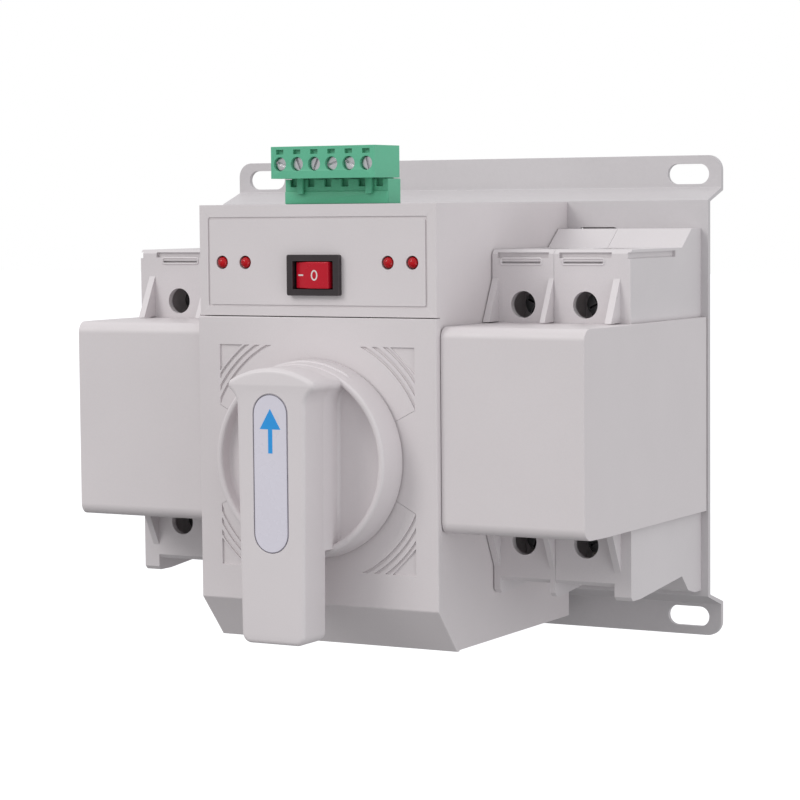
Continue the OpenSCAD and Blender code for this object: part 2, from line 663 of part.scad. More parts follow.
// Box clamps that grip the supply wires
module terminal_clamps(side) color("goldenrod") on_side(side) for (i = [0, 1], z = [-1, 1])
    translate([pole(i), 0, z * screw_z]) difference() {
        block([-4.3, 4.3], [wire_d[0] + 0.2, wire_d[1] - 0.2], [-4.2, 4.2]);
        block([-3.2, 3.2], [wire_d[0] + 1.4, wire_d[1] - 2], [-5, 5]);
        rod(0, 0, 1.9, wire_d[1] - 4, wire_d[1] + 1);
    }

module left_terminal_clamps() terminal_clamps(-1);
module right_terminal_clamps() terminal_clamps(1);

// Clamp screws at the bottom of the screwdriver holes
module terminal_screws() color("slategray") for (side = [-1, 1]) on_side(side)
    for (i = [0, 1], z = [-1, 1])
        pan_screw(pole(i), z * screw_z, 49, 3.1, 3.4, 1.9, wire_d[1] - 2, 25 + 40 * i);

// Steel pins through the poles of each module, which the toggles turn on
module toggle_pins() color("silver") for (side = [-1, 1]) on_side(side)
    cross_rod(toggle_pivot_d, 0, 1.5, module_x0 - 0.05, module_x - 2.15);

// Toggle levers of the two poles, drawn at mid travel
module toggles(side) color("dimgray") on_side(side) for (i = [0, 1]) difference() {
    union() {
        cross_rod(toggle_pivot_d, 0, 6, pole(i) - 2.4, pole(i) + 2.4, round_fn);
        profile(pole(i) - 2.4, pole(i) + 2.4) polygon([
            [toggle_pivot_d, -4.4], [nose_d, -2.9], [toggle_pivot_d + 16.4, -2.9],
            [toggle_pivot_d + 16.4, 2.9], [nose_d, 2.9], [toggle_pivot_d, 4.4]]);
    }
    cross_rod(toggle_pivot_d, 0, 1.5 + run_play, pole(i) - 3, pole(i) + 3);
    cross_rod(toggle_pivot_d + toggle_reach, 0, tie_bar_r, pole(i) - 3, pole(i) + 3);
}

module left_toggles() toggles(-1);
module right_toggles() toggles(1);

// Bar that ties the two toggles together and takes the push of the drive arm
module tie_bar(side) color("silver") on_side(side)
    cross_rod(toggle_pivot_d + toggle_reach, 0, tie_bar_r, hw + 1.1, pole(1) + 4);

module left_tie_bar() tie_bar(-1);
module right_tie_bar() tie_bar(1);

// Moving contact of each pole, a lever on an insulating shaft
module contact_arms(side) color("peru") on_side(side) {
    cross_rod(contact_pivot_d, 0, contact_shaft_r, pole(0) - 8, pole(1) + 8);
    for (i = [0, 1]) profile(pole(i) - 2, pole(i) + 2) polygon([
        [contact_pivot_d - 2, 0], [contact_pivot_d - 1.2, contact_reach],
        [contact_pivot_d + 2.2, contact_reach], [contact_pivot_d + 2.2, contact_reach - 4],
        [contact_pivot_d + 1.2, contact_reach - 4.4], [contact_pivot_d + 2, 0]]);
}

module left_contact_arms() contact_arms(-1);
module right_contact_arms() contact_arms(1);

// Fixed contact of each pole, a bent copper bar
module fixed_contacts() color("peru") for (side = [-1, 1]) on_side(side) for (i = [0, 1])
    profile(pole(i) - 2, pole(i) + 2) polygon([
        [44.1, 10], [45.6, 10], [45.6, 19.5], [50, 19.5], [50, 21], [44.1, 21]]);

// Cover over the toggles: front, outer side, and a short roof and floor
module side_cover(side) color("lightgray") on_side(side) {
    x0 = hw + 0.5;
    top = cover_h / 2;
    difference() {
        intersection() {
            slab_up(-top, top) polygon([
                [x0, plate_rise + 0.2], [cover_x, plate_rise + 0.2], [cover_x, 75.4],
                [cover_x - 1.1, cover_d], [x0, cover_d]]);
            profile(x0 - 1, cover_x + 1) union() {
                polygon([[0, -top], [cover_d - 3, -top], [cover_d, -top + 3], [cover_d, top - 3],
                    [cover_d - 3, top], [0, top]]);
                for (z = [-1, 1]) translate([cover_d - 3, z * (top - 3)]) circle(3, $fn = round_fn);
            }
        }
        // Room over the nose and toggles of the module
        block([x0 - 1, module_x + play], [0, nose_d + 1], [-top + 1.6, top - 1.6]);
        block([x0 - 1, cover_x - 2.4], [nose_d, cover_d - 2], [-top + 1.6, top - 1.6]);
        // Room for the module body above and below
        block([x0 - 1, module_x + play], [0, shoulder_d + 0.1], [-40, 40]);
    }
}

module left_cover() side_cover(-1);
module right_cover() side_cover(1);

// Screw driven from behind the plate, with its head on the back of the raised middle
module rear_screw(x, z, head_r, r, tip_d) {
    seat = plate_rise - plate_t;
    difference() {
        union() {
            rod(x, z, head_r, seat - 2.2, seat);
            rod(x, z, r, seat - eps, tip_d);
        }
        translate([x, -(seat - 2.2), z]) cube([head_r * 1.7, 1.8, 0.6], center = true);
        translate([x, -(seat - 2.2), z]) cube([0.6, 1.8, head_r * 1.7], center = true);
    }
}

// Screws from behind that hold the modules
module breaker_screws() color("silver") device() for (x = [-1, 1], z = [-1, 1])
    rear_screw(x * breaker_screw_x, z * breaker_screw_z, 3.6, 1.6, 21);

// Screws from behind that hold the housing
module housing_screws() color("silver") device() for (x = [-1, 1], z = housing_screw_z)
    rear_screw(x * housing_screw_x, z, 2.9, 1.2, 21);

handle_back_d = cover_front_d + 0.4;
rim_front_d = 96.4;
floor_d = 93.2;
lever_top_r = 24.3;
lever_flare = 14.2;
lever_tail = -44.8;
tail_w = 18.4;
tail_back_d = 99.1;
label_l = 39.6;
label_w = 9.8;
label_mid = -2;

// Front outline of the lever about the shaft: straight sides that flare at the top into the disc
module lever_outline() {
    neck = 14.8;
    round_r = 3;
    half = lever_w / 2;
    tail = tail_w / 2;
    polygon([[-half, 12], [-tail, lever_tail + round_r], [tail, lever_tail + round_r], [half, 12],
        [half, neck], [-half, neck]]);
    translate([-tail + round_r, lever_tail]) square([tail_w - 2 * round_r, round_r + 1]);
    for (x = [-1, 1])
        translate([x * (tail - round_r), lever_tail + round_r]) circle(round_r, $fn = round_fn);
    intersection() {
        circle(lever_top_r, $fn = 96);
        difference() {
            translate([-lever_flare, neck - 0.1]) square([2 * lever_flare, 20]);
            for (x = [-1, 1]) translate([x * (half + 4.9), neck]) circle(4.9, $fn = round_fn);
        }
    }
}

// Moulded handle: a rimmed disc with the lever across it, in one piece
module handle() color("lightgray") device() translate([0, 0, shaft_z]) difference() {
    union() {
        rotate([90, 0, 0]) rotate_extrude($fn = 96) polygon([
            [0, handle_back_d], [disc_d / 2 - 0.4, handle_back_d], [disc_d / 2, handle_back_d + 0.4],
            [disc_d / 2 - 0.6, rim_front_d - 0.9], [disc_d / 2 - 1.4, rim_front_d],
            [disc_d / 2 - 2.6, rim_front_d], [disc_d / 2 - 3.2, floor_d + 0.6], [disc_d / 2 - 3.8, floor_d],
            [0, floor_d]]);
        difference() {
            slab(floor_d - 0.5, lever_d) lever_outline();
            block([-30, 30], [0, tail_back_d], [-60, -21]);
        }
    }
    rod(0, 0, shaft_d / 2, handle_back_d - 1, 102, round_fn);
    rod(0, 0, 2.2, 101, lever_d + 1, round_fn);
    rod(0, 0, 4, lever_d - 4, lever_d + 1, round_fn);
    translate([0, 0, label_mid]) slab(lever_d - 0.4, lever_d + 1) rotate(90)
        slot(label_l + 0.3, label_w + 0.3);
}

// Stadium label in the shallow recess of the lever
module handle_label() color("white") device() translate([0, 0, shaft_z + label_mid])
    slab(lever_d - 0.4, lever_d + 0.05) rotate(90) slot(label_l, label_w);

// Screw under the label that holds the handle on the shaft
module handle_screw() color("silver") device()
    pan_screw(0, shaft_z, lever_d - 1.2, 3.6, 2.8, 1.9, 92, 30);

// Steel shaft from the handle back through both gear plates
module main_shaft() color("silver") device() difference() {
    rod(0, shaft_z, shaft_d / 2, 50, 102, round_fn);
    rod(0, shaft_z, 1.9, 91, 103, round_fn);
    translate([0, 0, shaft_z]) rotate([90, 0, 0]) translate([0, 0, 51]) difference() {
        cylinder(h = 0.8, r = 6, $fn = round_fn);
        translate([0, 0, -1]) cylinder(h = 3, r = shaft_d / 2 - 0.8, $fn = round_fn);
    }
}

// Turns a flat gear so that its angles are read as seen from the front
module gear_body(x, z, layer) translate([x, 0, z]) slab(layer[0], layer[1]) children();

// Pinion on the shaft that swings both drive arms; a tooth points along the right mesh line
module drive_pinion() color("goldenrod") device() difference() {
    union() {
        gear_body(0, shaft_z, arm_layer) gear(drive_teeth, arm_mesh_angle);
        rod(0, shaft_z, 6.4, front_plate_d + 0.3, arm_layer[0] + eps, round_fn);
    }
    rod(0, shaft_z, shaft_d / 2, 70, 90, round_fn);
}

// Large gear on the shaft, driven by the idler
module main_gear() color("ivory") device() difference() {
    union() {
        gear_body(0, shaft_z, main_layer) difference() {
            gear(main_teeth, 90);
            for (a = [30:60:330]) rotate(a) translate([13.5, 0]) circle(4, $fn = hole_fn);
        }
        rod(0, shaft_z, 7, flag_layer[1], front_plate_d - gear_plate_t - 1.6, round_fn);
    }
    rod(0, shaft_z, shaft_d / 2, 50, 90, round_fn);
}

// Sector flag that tells the sensors where the shaft stands
module flag_disc() color("dimgray") device() translate([0, 0, shaft_z]) difference() {
    union() {
        slab(flag_layer[0], flag_layer[1]) intersection() {
            circle(flag_r, $fn = round_fn);
            polygon([[0, 0], [-6.4, -16], [6.4, -16]]);
        }
        rod(0, 0, 6, rear_plate_d + 0.3, flag_layer[1], round_fn);
    }
    rod(0, 0, shaft_d / 2, 50, 90, round_fn);
}

// Clip that keeps the shaft in its bushes
module shaft_clip() color("dimgray") device() translate([0, 0, shaft_z]) slab(51, 51.8) difference() {
    circle(6, $fn = round_fn);
    circle(shaft_d / 2 - 0.8, $fn = round_fn);
    translate([0, -4]) square([4.4, 8], center = true);
}

// Toothed sector with an arm; two pins at its end hold the tie bar between them
module drive_arm(side) color("goldenrod") on_side(side) {
    toward = 180 + arm_mesh_angle;
    step = 360 / arm_teeth;
    pinion_step = 360 / drive_teeth;
    // The pinion's teeth are not mirror images about the shaft, so the left sector is set back
    left_shift = -((180 - 2 * arm_mesh_angle) % pinion_step) * drive_teeth / arm_teeth;
    shift = side < 0 ? left_shift : 0;
    difference() {
        union() {
            gear_body(arm_pivot_x, 0, arm_layer) {
                gear(arm_teeth, toward + step / 2 + shift, -5, 10);
                polygon([[0, 5], [arm_reach, 6.2], [arm_reach + 2, 6.2], [arm_reach + 2, -6.2],
                    [arm_reach, -6.2], [0, -5]]);
            }
            rod(arm_pivot_x, 0, 4.6, front_plate_d + 0.3, 82.4, round_fn);
            for (z = [-1, 1]) rod(drive_tip_x, z * fork_pin_offset, fork_pin_r, 73, arm_layer[1]);
        }
        rod(arm_pivot_x, 0, 2 + run_play, 70, 90, round_fn);
    }
}

module left_drive_arm() drive_arm(-1);
module right_drive_arm() drive_arm(1);

// Two gears in one: the small one meets the main gear, the large one the motor pinion
module idler_gear() color("ivory") device() difference() {
    union() {
        gear_body(0, idler_z, [main_layer[0] - 0.4, main_layer[1] + 0.4])
            gear(idler_small_teeth, 270 + 180 / idler_small_teeth);
        gear_body(0, idler_z, idler_large_layer) gear(idler_large_teeth, motor_angle);
        rod(0, idler_z, 3.2, rear_plate_d + 0.3, front_plate_d - gear_plate_t - 0.3, round_fn);
        rod(0, idler_z, 4.4, idler_large_layer[1] - eps, main_layer[0] - 0.4 + eps, round_fn);
    }
    rod(0, idler_z, 1.5 + run_play, 50, 90, round_fn);
}

// Motor shaft with its pinion
module motor_pinion() color("silver") device() {
    gear_body(motor_x, motor_z, [idler_large_layer[0] - 0.4, idler_large_layer[1] + 0.4])
        gear(motor_teeth, motor_angle + 180 + 180 / motor_teeth);
    rod(motor_x, motor_z, 1.5, rear_plate_d - 11, idler_large_layer[1] + 1, round_fn);
}

base_plate();
housing();
front_cover();
shaft_bush();
front_gear_plate();
rear_gear_plate();
frame_posts();
post_screws();
plate_bushes();
gear_motor();
motor_screws();
idler_pin();
arm_pivot_pins();
pivot_clips();
position_sensors();
control_board();
board_relays();
indicator_board();
indicator_leds();
rocker_body();
rocker_key();
terminal_header();
header_pins();
terminal_plug();
plug_screws();
plug_clamps();
left_inner_case();
left_outer_case();
right_inner_case();
right_outer_case();
pole_partitions();
case_rivets();
left_terminal_clamps();
right_terminal_clamps();
terminal_screws();
toggle_pins();
left_toggles();
right_toggles();
left_tie_bar();
right_tie_bar();
left_contact_arms();
right_contact_arms();
fixed_contacts();
left_cover();
right_cover();
breaker_screws();
housing_screws();
handle();
handle_label();
handle_screw();
main_shaft();
drive_pinion();
main_gear();
flag_disc();
shaft_clip();
left_drive_arm();
right_drive_arm();
idler_gear();
motor_pinion();
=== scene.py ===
"""Looks of a two-supply transfer switch with a turning handle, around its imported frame."""
import json
from math import cos, radians, sin

import bmesh
import bpy
import numpy as np
from mathutils import Matrix, Vector
from mathutils.geometry import tessellate_polygon

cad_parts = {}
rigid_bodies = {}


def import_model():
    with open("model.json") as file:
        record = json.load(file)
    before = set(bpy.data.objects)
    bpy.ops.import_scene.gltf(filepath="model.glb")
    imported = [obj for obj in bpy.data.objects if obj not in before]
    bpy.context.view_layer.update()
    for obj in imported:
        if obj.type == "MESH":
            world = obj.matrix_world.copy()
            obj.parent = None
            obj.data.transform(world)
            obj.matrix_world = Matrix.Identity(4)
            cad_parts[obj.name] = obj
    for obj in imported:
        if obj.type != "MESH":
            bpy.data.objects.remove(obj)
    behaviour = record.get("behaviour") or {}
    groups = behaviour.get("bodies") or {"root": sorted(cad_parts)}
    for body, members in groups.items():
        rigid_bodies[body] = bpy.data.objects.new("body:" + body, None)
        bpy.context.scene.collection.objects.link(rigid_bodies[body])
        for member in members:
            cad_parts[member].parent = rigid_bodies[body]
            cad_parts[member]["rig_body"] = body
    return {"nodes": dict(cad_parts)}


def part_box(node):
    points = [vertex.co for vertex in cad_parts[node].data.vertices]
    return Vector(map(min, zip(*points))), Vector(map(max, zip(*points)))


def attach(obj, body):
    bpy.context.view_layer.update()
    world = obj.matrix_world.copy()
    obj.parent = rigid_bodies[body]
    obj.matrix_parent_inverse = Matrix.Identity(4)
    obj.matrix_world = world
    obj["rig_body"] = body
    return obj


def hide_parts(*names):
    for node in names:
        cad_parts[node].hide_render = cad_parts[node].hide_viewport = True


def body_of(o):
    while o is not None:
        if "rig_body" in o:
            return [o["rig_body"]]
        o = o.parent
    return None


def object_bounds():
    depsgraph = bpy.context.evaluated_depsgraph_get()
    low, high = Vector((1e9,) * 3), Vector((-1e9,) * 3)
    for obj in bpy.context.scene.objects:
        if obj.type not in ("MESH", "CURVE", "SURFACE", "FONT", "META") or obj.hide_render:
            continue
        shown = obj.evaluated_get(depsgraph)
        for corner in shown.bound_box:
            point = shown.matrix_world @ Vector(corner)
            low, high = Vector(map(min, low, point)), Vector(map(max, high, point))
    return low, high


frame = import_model()
cad_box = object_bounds()

# ---------------------------------------------------------------- camera and room
# The switch hangs where its wall would hold it, above a pale floor. A broad soft lamp
# stands to the upper left, a white card to the right, and the sky dims downwards.

turn, rise, tilt = radians(28.75), radians(4.08), radians(-0.5)
look_at = Vector((0.0005, -0.0438, 0.0))
stand_off = 0.7227
lens_mm, sensor_mm = 120.85, 36

toward_eye = Vector((sin(turn) * cos(rise), -cos(turn) * cos(rise), sin(rise)))
level_right = Vector((cos(turn), sin(turn), 0))
level_up = toward_eye.cross(level_right)
eye_right = level_right * cos(tilt) + level_up * sin(tilt)
eye_up = level_up * cos(tilt) - level_right * sin(tilt)
eye = bpy.data.objects.new("eye", bpy.data.cameras.new("eye"))
bpy.context.collection.objects.link(eye)
eye.data.sensor_width, eye.data.lens = sensor_mm, lens_mm
eye.data.clip_start, eye.data.clip_end = 0.01, 100
axes = Matrix((eye_right, eye_up, toward_eye)).transposed()
eye.matrix_world = Matrix.Translation(look_at + stand_off * toward_eye) @ axes.to_4x4()
bpy.context.scene.camera = eye
bpy.context.scene.view_settings.view_transform = "Standard"


def wired(tree, kind, **inputs):
    """A new shader node; an input is a plain value or the socket that feeds it."""
    made = tree.nodes.new(kind)
    for label, value in inputs.items():
        place = int(label[1:]) if label[0] == "_" else label.replace("_", " ")
        if isinstance(value, bpy.types.NodeSocket):
            tree.links.new(value, made.inputs[place])
        else:
            made.inputs[place].default_value = value
    return made


sky = bpy.data.worlds.new("light_tent")
bpy.context.scene.world = sky
sky.use_nodes = True
sky.node_tree.nodes.clear()
heading = wired(sky.node_tree, "ShaderNodeTexCoord")
height = wired(sky.node_tree, "ShaderNodeSeparateXYZ", Vector=heading.outputs["Generated"])
dimming = wired(sky.node_tree, "ShaderNodeMapRange", Value=height.outputs["Z"],
                From_Min=-1.0, From_Max=1.0, To_Min=0.14, To_Max=0.98)
tent = wired(sky.node_tree, "ShaderNodeBackground", Color=(0.985, 0.99, 1, 1),
             Strength=dimming.outputs[0])
paper = wired(sky.node_tree, "ShaderNodeBackground", Color=(1, 1, 1, 1), Strength=1.0)
seen = wired(sky.node_tree, "ShaderNodeLightPath")
either = wired(sky.node_tree, "ShaderNodeMixShader", _0=seen.outputs["Is Camera Ray"],
               _1=tent.outputs[0], _2=paper.outputs[0])
wired(sky.node_tree, "ShaderNodeOutputWorld", Surface=either.outputs[0])

for light, strength, breadth, tint, place in (
        ("soft_lamp", 0.85, 26, (1, 0.985, 0.97), (-0.5, -0.8, 0.6)),
        ("white_card", 0.64, 46, (0.97, 0.985, 1), (0.9, -0.25, -0.25))):
    lamp = bpy.data.objects.new(light, bpy.data.lights.new(light, "SUN"))
    bpy.context.collection.objects.link(lamp)
    lamp.data.energy, lamp.data.angle, lamp.data.color = strength, radians(breadth), tint
    lamp.matrix_world = Vector(place).to_track_quat("Z", "Y").to_matrix().to_4x4()

floor_drop = 0.12
floor_reach = 8
floor_mesh = bpy.data.meshes.new("floor")
corners = np.array([(-1, -1), (1, -1), (1, 1), (-1, 1)]) * floor_reach
floor_z = cad_box[0].z - floor_drop
floor_mesh.from_pydata([(x, y, floor_z) for x, y in corners.tolist()], [], [(0, 1, 2, 3)])
floor = bpy.data.objects.new("floor", floor_mesh)
bpy.context.collection.objects.link(floor)
floor.visible_diffuse = floor.visible_glossy = floor.visible_shadow = False
floor_paint = bpy.data.materials.new("pale_floor")
floor_paint.use_nodes = True
floor_shader = floor_paint.node_tree.nodes["Principled BSDF"]
floor_shader.inputs["Base Color"].default_value = (0.93, 0.93, 0.94, 1)
floor_shader.inputs["Roughness"].default_value = 0.9
floor_shader.inputs["Emission Color"].default_value = (1, 1, 1, 1)
floor_shader.inputs["Emission Strength"].default_value = 0.25
floor_mesh.materials.append(floor_paint)

# ---------------------------------------------------------------- wall plate
# One sheet of 1.5 mm steel, pressed so that its middle stands off the wall, with four
# slotted ears. It is bent over a radius, sprayed pale grey and stoved.

MM = 0.001


def group(name, inputs, outputs):
    """An empty shader group with named sockets; returns it with its inner input and output."""
    tree = bpy.data.node_groups.new(name, "ShaderNodeTree")
    for label, kind, value in inputs:
        socket = tree.interface.new_socket(label, in_out="INPUT", socket_type="NodeSocket" + kind)
        socket.default_value = value
    for label, kind in outputs:
        tree.interface.new_socket(label, in_out="OUTPUT", socket_type="NodeSocket" + kind)
    return tree, tree.nodes.new("NodeGroupInput"), tree.nodes.new("NodeGroupOutput")


def blended(tree, kind, share, one, other):
    """A colour mix of two colours or sockets, by a share that is a number or a socket.

    A Mix node's places 0, 6 and 7 are its share and its two colours; its output 2 is the colour.
    """
    mix = tree.nodes.new("ShaderNodeMix")
    mix.data_type, mix.blend_type = "RGBA", kind
    for place, value in ((0, share), (6, one), (7, other)):
        if isinstance(value, bpy.types.NodeSocket):
            tree.links.new(value, mix.inputs[place])
        else:
            mix.inputs[place].default_value = value
    return mix.outputs[2]


def maths(tree, operation, one, other=0.5, third=0.0):
    """One arithmetic node on numbers or sockets."""
    made = wired(tree, "ShaderNodeMath", _0=one, _1=other, _2=third)
    made.operation = operation
    return made.outputs[0]


def noise(tree, scale, detail=2.0, roughness=0.5):
    """Soft noise on object coordinates, from 0 to 1; scale is in cycles per metre."""
    spot = wired(tree, "ShaderNodeTexCoord")
    return wired(tree, "ShaderNodeTexNoise", Vector=spot.outputs["Object"], Scale=scale,
                 Detail=detail, Roughness=roughness).outputs[0]


noise_low, noise_high = 0.3, 0.7


def stretched(tree, value, low, high):
    """Noise mapped from the middle range that most of it lies in to low and high."""
    made = wired(tree, "ShaderNodeMapRange", Value=value, From_Min=noise_low, From_Max=noise_high,
                 To_Min=low, To_Max=high)
    return made.outputs[0]


cloud_cycles, patch_cycles, ragged_cycles, shade_break_cycles = 45.0, 160.0, 700.0, 260.0

# Surface grain: cloudy shade, fine speckle and a bump height, each with its own strength
grain, grain_in, grain_out = group(
    "surface_grain",
    [("Colour", "Color", (0.5, 0.5, 0.5, 1)), ("Cycles", "Float", 1500.0), ("Cloud", "Float", 0.03),
     ("Speckle", "Float", 0.02), ("Rough low", "Float", 0.4), ("Rough high", "Float", 0.5)],
    [("Colour", "Color"), ("Roughness", "Float"), ("Height", "Float")])
cloud = stretched(grain, noise(grain, cloud_cycles, 3.0), -1.0, 1.0)
speck = noise(grain, grain_in.outputs["Cycles"], 3.0, 0.65)
shade = maths(grain, "MULTIPLY_ADD", cloud, grain_in.outputs["Cloud"], 1.0)
speckled = maths(grain, "MULTIPLY", stretched(grain, speck, -1.0, 1.0), grain_in.outputs["Speckle"])
shade = maths(grain, "ADD", shade, speckled)
tone = wired(grain, "ShaderNodeVectorMath", _0=grain_in.outputs["Colour"])
tone.operation = "SCALE"
grain.links.new(shade, tone.inputs["Scale"])
grain.links.new(tone.outputs[0], grain_out.inputs["Colour"])
gloss = stretched(grain, noise(grain, patch_cycles, 4.0, 0.6),
                  grain_in.outputs["Rough low"], grain_in.outputs["Rough high"])
grain.links.new(gloss, grain_out.inputs["Roughness"])
grain.links.new(speck, grain_out.inputs["Height"])

# Edge wear: where a rounded normal leaves the true one, broken up by noise
wear, wear_in, wear_out = group(
    "edge_wear",
    [("Colour", "Color", (0.5, 0.5, 0.5, 1)), ("Worn", "Color", (0.8, 0.8, 0.8, 1)),
     ("Width", "Float", 0.0006), ("Amount", "Float", 0.5)],
    [("Colour", "Color")])
softened = wired(wear, "ShaderNodeBevel", Radius=wear_in.outputs["Width"])
softened.samples = 4
true_normal = wired(wear, "ShaderNodeNewGeometry")
agreement = wired(wear, "ShaderNodeVectorMath", _0=softened.outputs[0], _1=true_normal.outputs["Normal"])
agreement.operation = "DOT_PRODUCT"
fold = maths(wear, "SUBTRACT", 1.0, agreement.outputs["Value"])
fold = wired(wear, "ShaderNodeMapRange", Value=fold, From_Min=0.02, From_Max=0.22).outputs[0]
ragged = stretched(wear, noise(wear, ragged_cycles, 4.0, 0.7), 0.2, 1.0)
rubbed = maths(wear, "MULTIPLY", maths(wear, "MULTIPLY", fold, ragged), wear_in.outputs["Amount"])
wear.links.new(blended(wear, "MIX", rubbed, wear_in.outputs["Colour"], wear_in.outputs["Worn"]),
               wear_out.inputs["Colour"])

# Painted crease shade: a darker tone where little open air is near, broken up by noise, standing in for
# the shade that falls in creases
crease_shade, crease_shade_in, crease_shade_out = group(
    "painted_crease_shade",
    [("Colour", "Color", (0.5, 0.5, 0.5, 1)), ("Dust", "Color", (0.2, 0.18, 0.16, 1)),
     ("Reach", "Float", 0.003), ("Amount", "Float", 0.35)],
    [("Colour", "Color")])
# Painted shade: the ambient occlusion test darkens the colour in creases and hollows, where shade falls
open_air = wired(crease_shade, "ShaderNodeAmbientOcclusion", Distance=crease_shade_in.outputs["Reach"])
open_air.samples = 6
closed_in = maths(crease_shade, "POWER", maths(crease_shade, "SUBTRACT", 1.0, open_air.outputs["AO"]), 1.6)
shade_share = maths(crease_shade, "MULTIPLY", closed_in, stretched(crease_shade, noise(crease_shade, shade_break_cycles, 3.0), 0.55, 1.0))
shade_share = maths(crease_shade, "MULTIPLY", shade_share, crease_shade_in.outputs["Amount"])
crease_shade.links.new(blended(crease_shade, "MIX", shade_share, crease_shade_in.outputs["Colour"], crease_shade_in.outputs["Dust"]),
               crease_shade_out.inputs["Colour"])


def use_group(tree, which, **inputs):
    """Places a shader group in a material with its own values."""
    placed = tree.nodes.new("ShaderNodeGroup")
    placed.node_tree = which
    for label, value in inputs.items():
        socket = placed.inputs[label.replace("_", " ")]
        if isinstance(value, bpy.types.NodeSocket):
            tree.links.new(value, socket)
        else:
            socket.default_value = value
    return placed


# The first tint darkens a material's own colour into the painted shade laid in its creases
crease_shade_tint, wear_width = (0.34, 0.32, 0.30), 0.5 * MM


def finish(name, colour, cycles, cloud, speckle, rough, bump, worn=None, wear_amount=0.0,
           crease_shade_amount=0.14, metallic=0.0, **plain):
    """A material of graining, painted crease shade and edge wear, with rough as the limits of its
    roughness.

    bump is the depth of the grain in metres, and the plain values go to the shader's own sockets.
    """
    material = bpy.data.materials.new(name)
    material.use_nodes = True
    tree = material.node_tree
    shader = tree.nodes["Principled BSDF"]
    skin = use_group(tree, grain, Colour=(*colour, 1), Cycles=cycles, Cloud=cloud, Speckle=speckle,
                     Rough_low=rough[0], Rough_high=rough[1])
    darkened = [part * tint for part, tint in zip(colour, crease_shade_tint)]
    # Painted shade: the colour is darkened where the crease test finds little open air
    shaded_skin = use_group(tree, crease_shade, Colour=skin.outputs["Colour"], Amount=crease_shade_amount, Dust=(*darkened, 1))
    top = shaded_skin.outputs["Colour"]
    if worn:
        edge = use_group(tree, wear, Colour=top, Worn=(*worn, 1), Width=wear_width, Amount=wear_amount)
        top = edge.outputs["Colour"]
    tree.links.new(top, shader.inputs["Base Color"])
    tree.links.new(skin.outputs["Roughness"], shader.inputs["Roughness"])
    relief = wired(tree, "ShaderNodeBump", Height=skin.outputs["Height"], Distance=bump, Strength=1.0)
    tree.links.new(relief.outputs[0], shader.inputs["Normal"])
    shader.inputs["Metallic"].default_value = metallic
    for label, value in plain.items():
        shader.inputs[label.replace("_", " ")].default_value = value
    return material


def edge_facts(mesh):
    """Length, middle and fold angle in degrees of every edge, the angle from its two faces' normals."""
    count = len(mesh.edges)
    ends = np.empty(2 * count, np.int32)
    mesh.edges.foreach_get("vertices", ends)
    spots = np.empty(3 * len(mesh.vertices), np.float32)
    mesh.vertices.foreach_get("co", spots)
    pairs = spots.reshape(-1, 3)[ends.reshape(-1, 2)]
    sizes = np.empty(len(mesh.polygons), np.int32)
    mesh.polygons.foreach_get("loop_total", sizes)
    normals = np.empty(3 * len(mesh.polygons), np.float32)
    mesh.polygons.foreach_get("normal", normals)
    edge_of_loop = np.empty(len(mesh.loops), np.int32)
    mesh.loops.foreach_get("edge_index", edge_of_loop)
    face_of_loop = np.repeat(np.arange(len(sizes)), sizes)
    order = np.argsort(edge_of_loop, kind="stable")
    uses = np.bincount(edge_of_loop, minlength=count)
    first = np.concatenate([[0], np.cumsum(uses)[:-1]])
    normals = normals.reshape(-1, 3)
    fold = np.zeros(count)
    shared = uses == 2
    near = face_of_loop[order[first[shared]]]
    far = face_of_loop[order[first[shared] + 1]]
    fold[shared] = np.degrees(np.arccos(np.clip((normals[near] * normals[far]).sum(1), -1, 1)))
    return np.linalg.norm(pairs[:, 1] - pairs[:, 0], axis=1) / MM, pairs.mean(1) / MM, fold


weld_gap, sliver, flat_turn, least_fold = 0.002 * MM, 0.004 * MM, radians(0.3), 22


def softened_copy(node, body, material, rules, steps=3):
    """A frame node's shape with doubles merged and its folds rounded.

    Flat faces that the solid's facets split are joined again before the folds are measured.
    rules lists (radius in mm, test of length, middle and fold); the first that holds sets an
    edge's radius, and the Bevel modifier's weight is that radius over the largest one.
    """
    mesh = frame["nodes"][node].data.copy()
    mesh.materials.clear()
    work = bmesh.new()
    work.from_mesh(mesh)
    bmesh.ops.remove_doubles(work, verts=work.verts, dist=weld_gap)
    bmesh.ops.dissolve_degenerate(work, dist=sliver, edges=work.edges)
    bmesh.ops.dissolve_limit(work, angle_limit=flat_turn, verts=work.verts, edges=work.edges)
    bmesh.ops.connect_verts_concave(work, faces=work.faces)
    work.to_mesh(mesh)
    work.free()
    length, middle, fold = edge_facts(mesh)
    widest = max(radius for radius, _ in rules)
    weight = np.zeros(len(length), np.float32)
    for radius, test in reversed(rules):
        weight[test(length, middle, fold) & (fold > least_fold)] = radius / widest
    mesh.shade_smooth()
    for layer, kind, values in (("bevel_weight_edge", "FLOAT", weight),
                                ("sharp_edge", "BOOLEAN", (weight == 0) & (fold > least_fold))):
        stored = mesh.attributes.get(layer) or mesh.attributes.new(layer, kind, "EDGE")
        stored.data.foreach_set("value", values)
    piece = bpy.data.objects.new(node + "_finished", mesh)
    bpy.context.collection.objects.link(piece)
    mesh.materials.append(material)
    round_off = piece.modifiers.new("rounded_edges", "BEVEL")
    round_off.limit_method, round_off.width, round_off.segments = "WEIGHT", widest * MM, steps
    round_off.use_clamp_overlap, round_off.miter_outer = True, "MITER_ARC"
    level = piece.modifiers.new("flat_faces_stay_flat", "WEIGHTED_NORMAL")
    level.keep_sharp, level.weight, level.mode = True, 100, "FACE_AREA"
    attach(piece, body)
    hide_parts(node)


def everywhere(length, middle, fold):
    """Every fold of the piece."""
    return length > 0


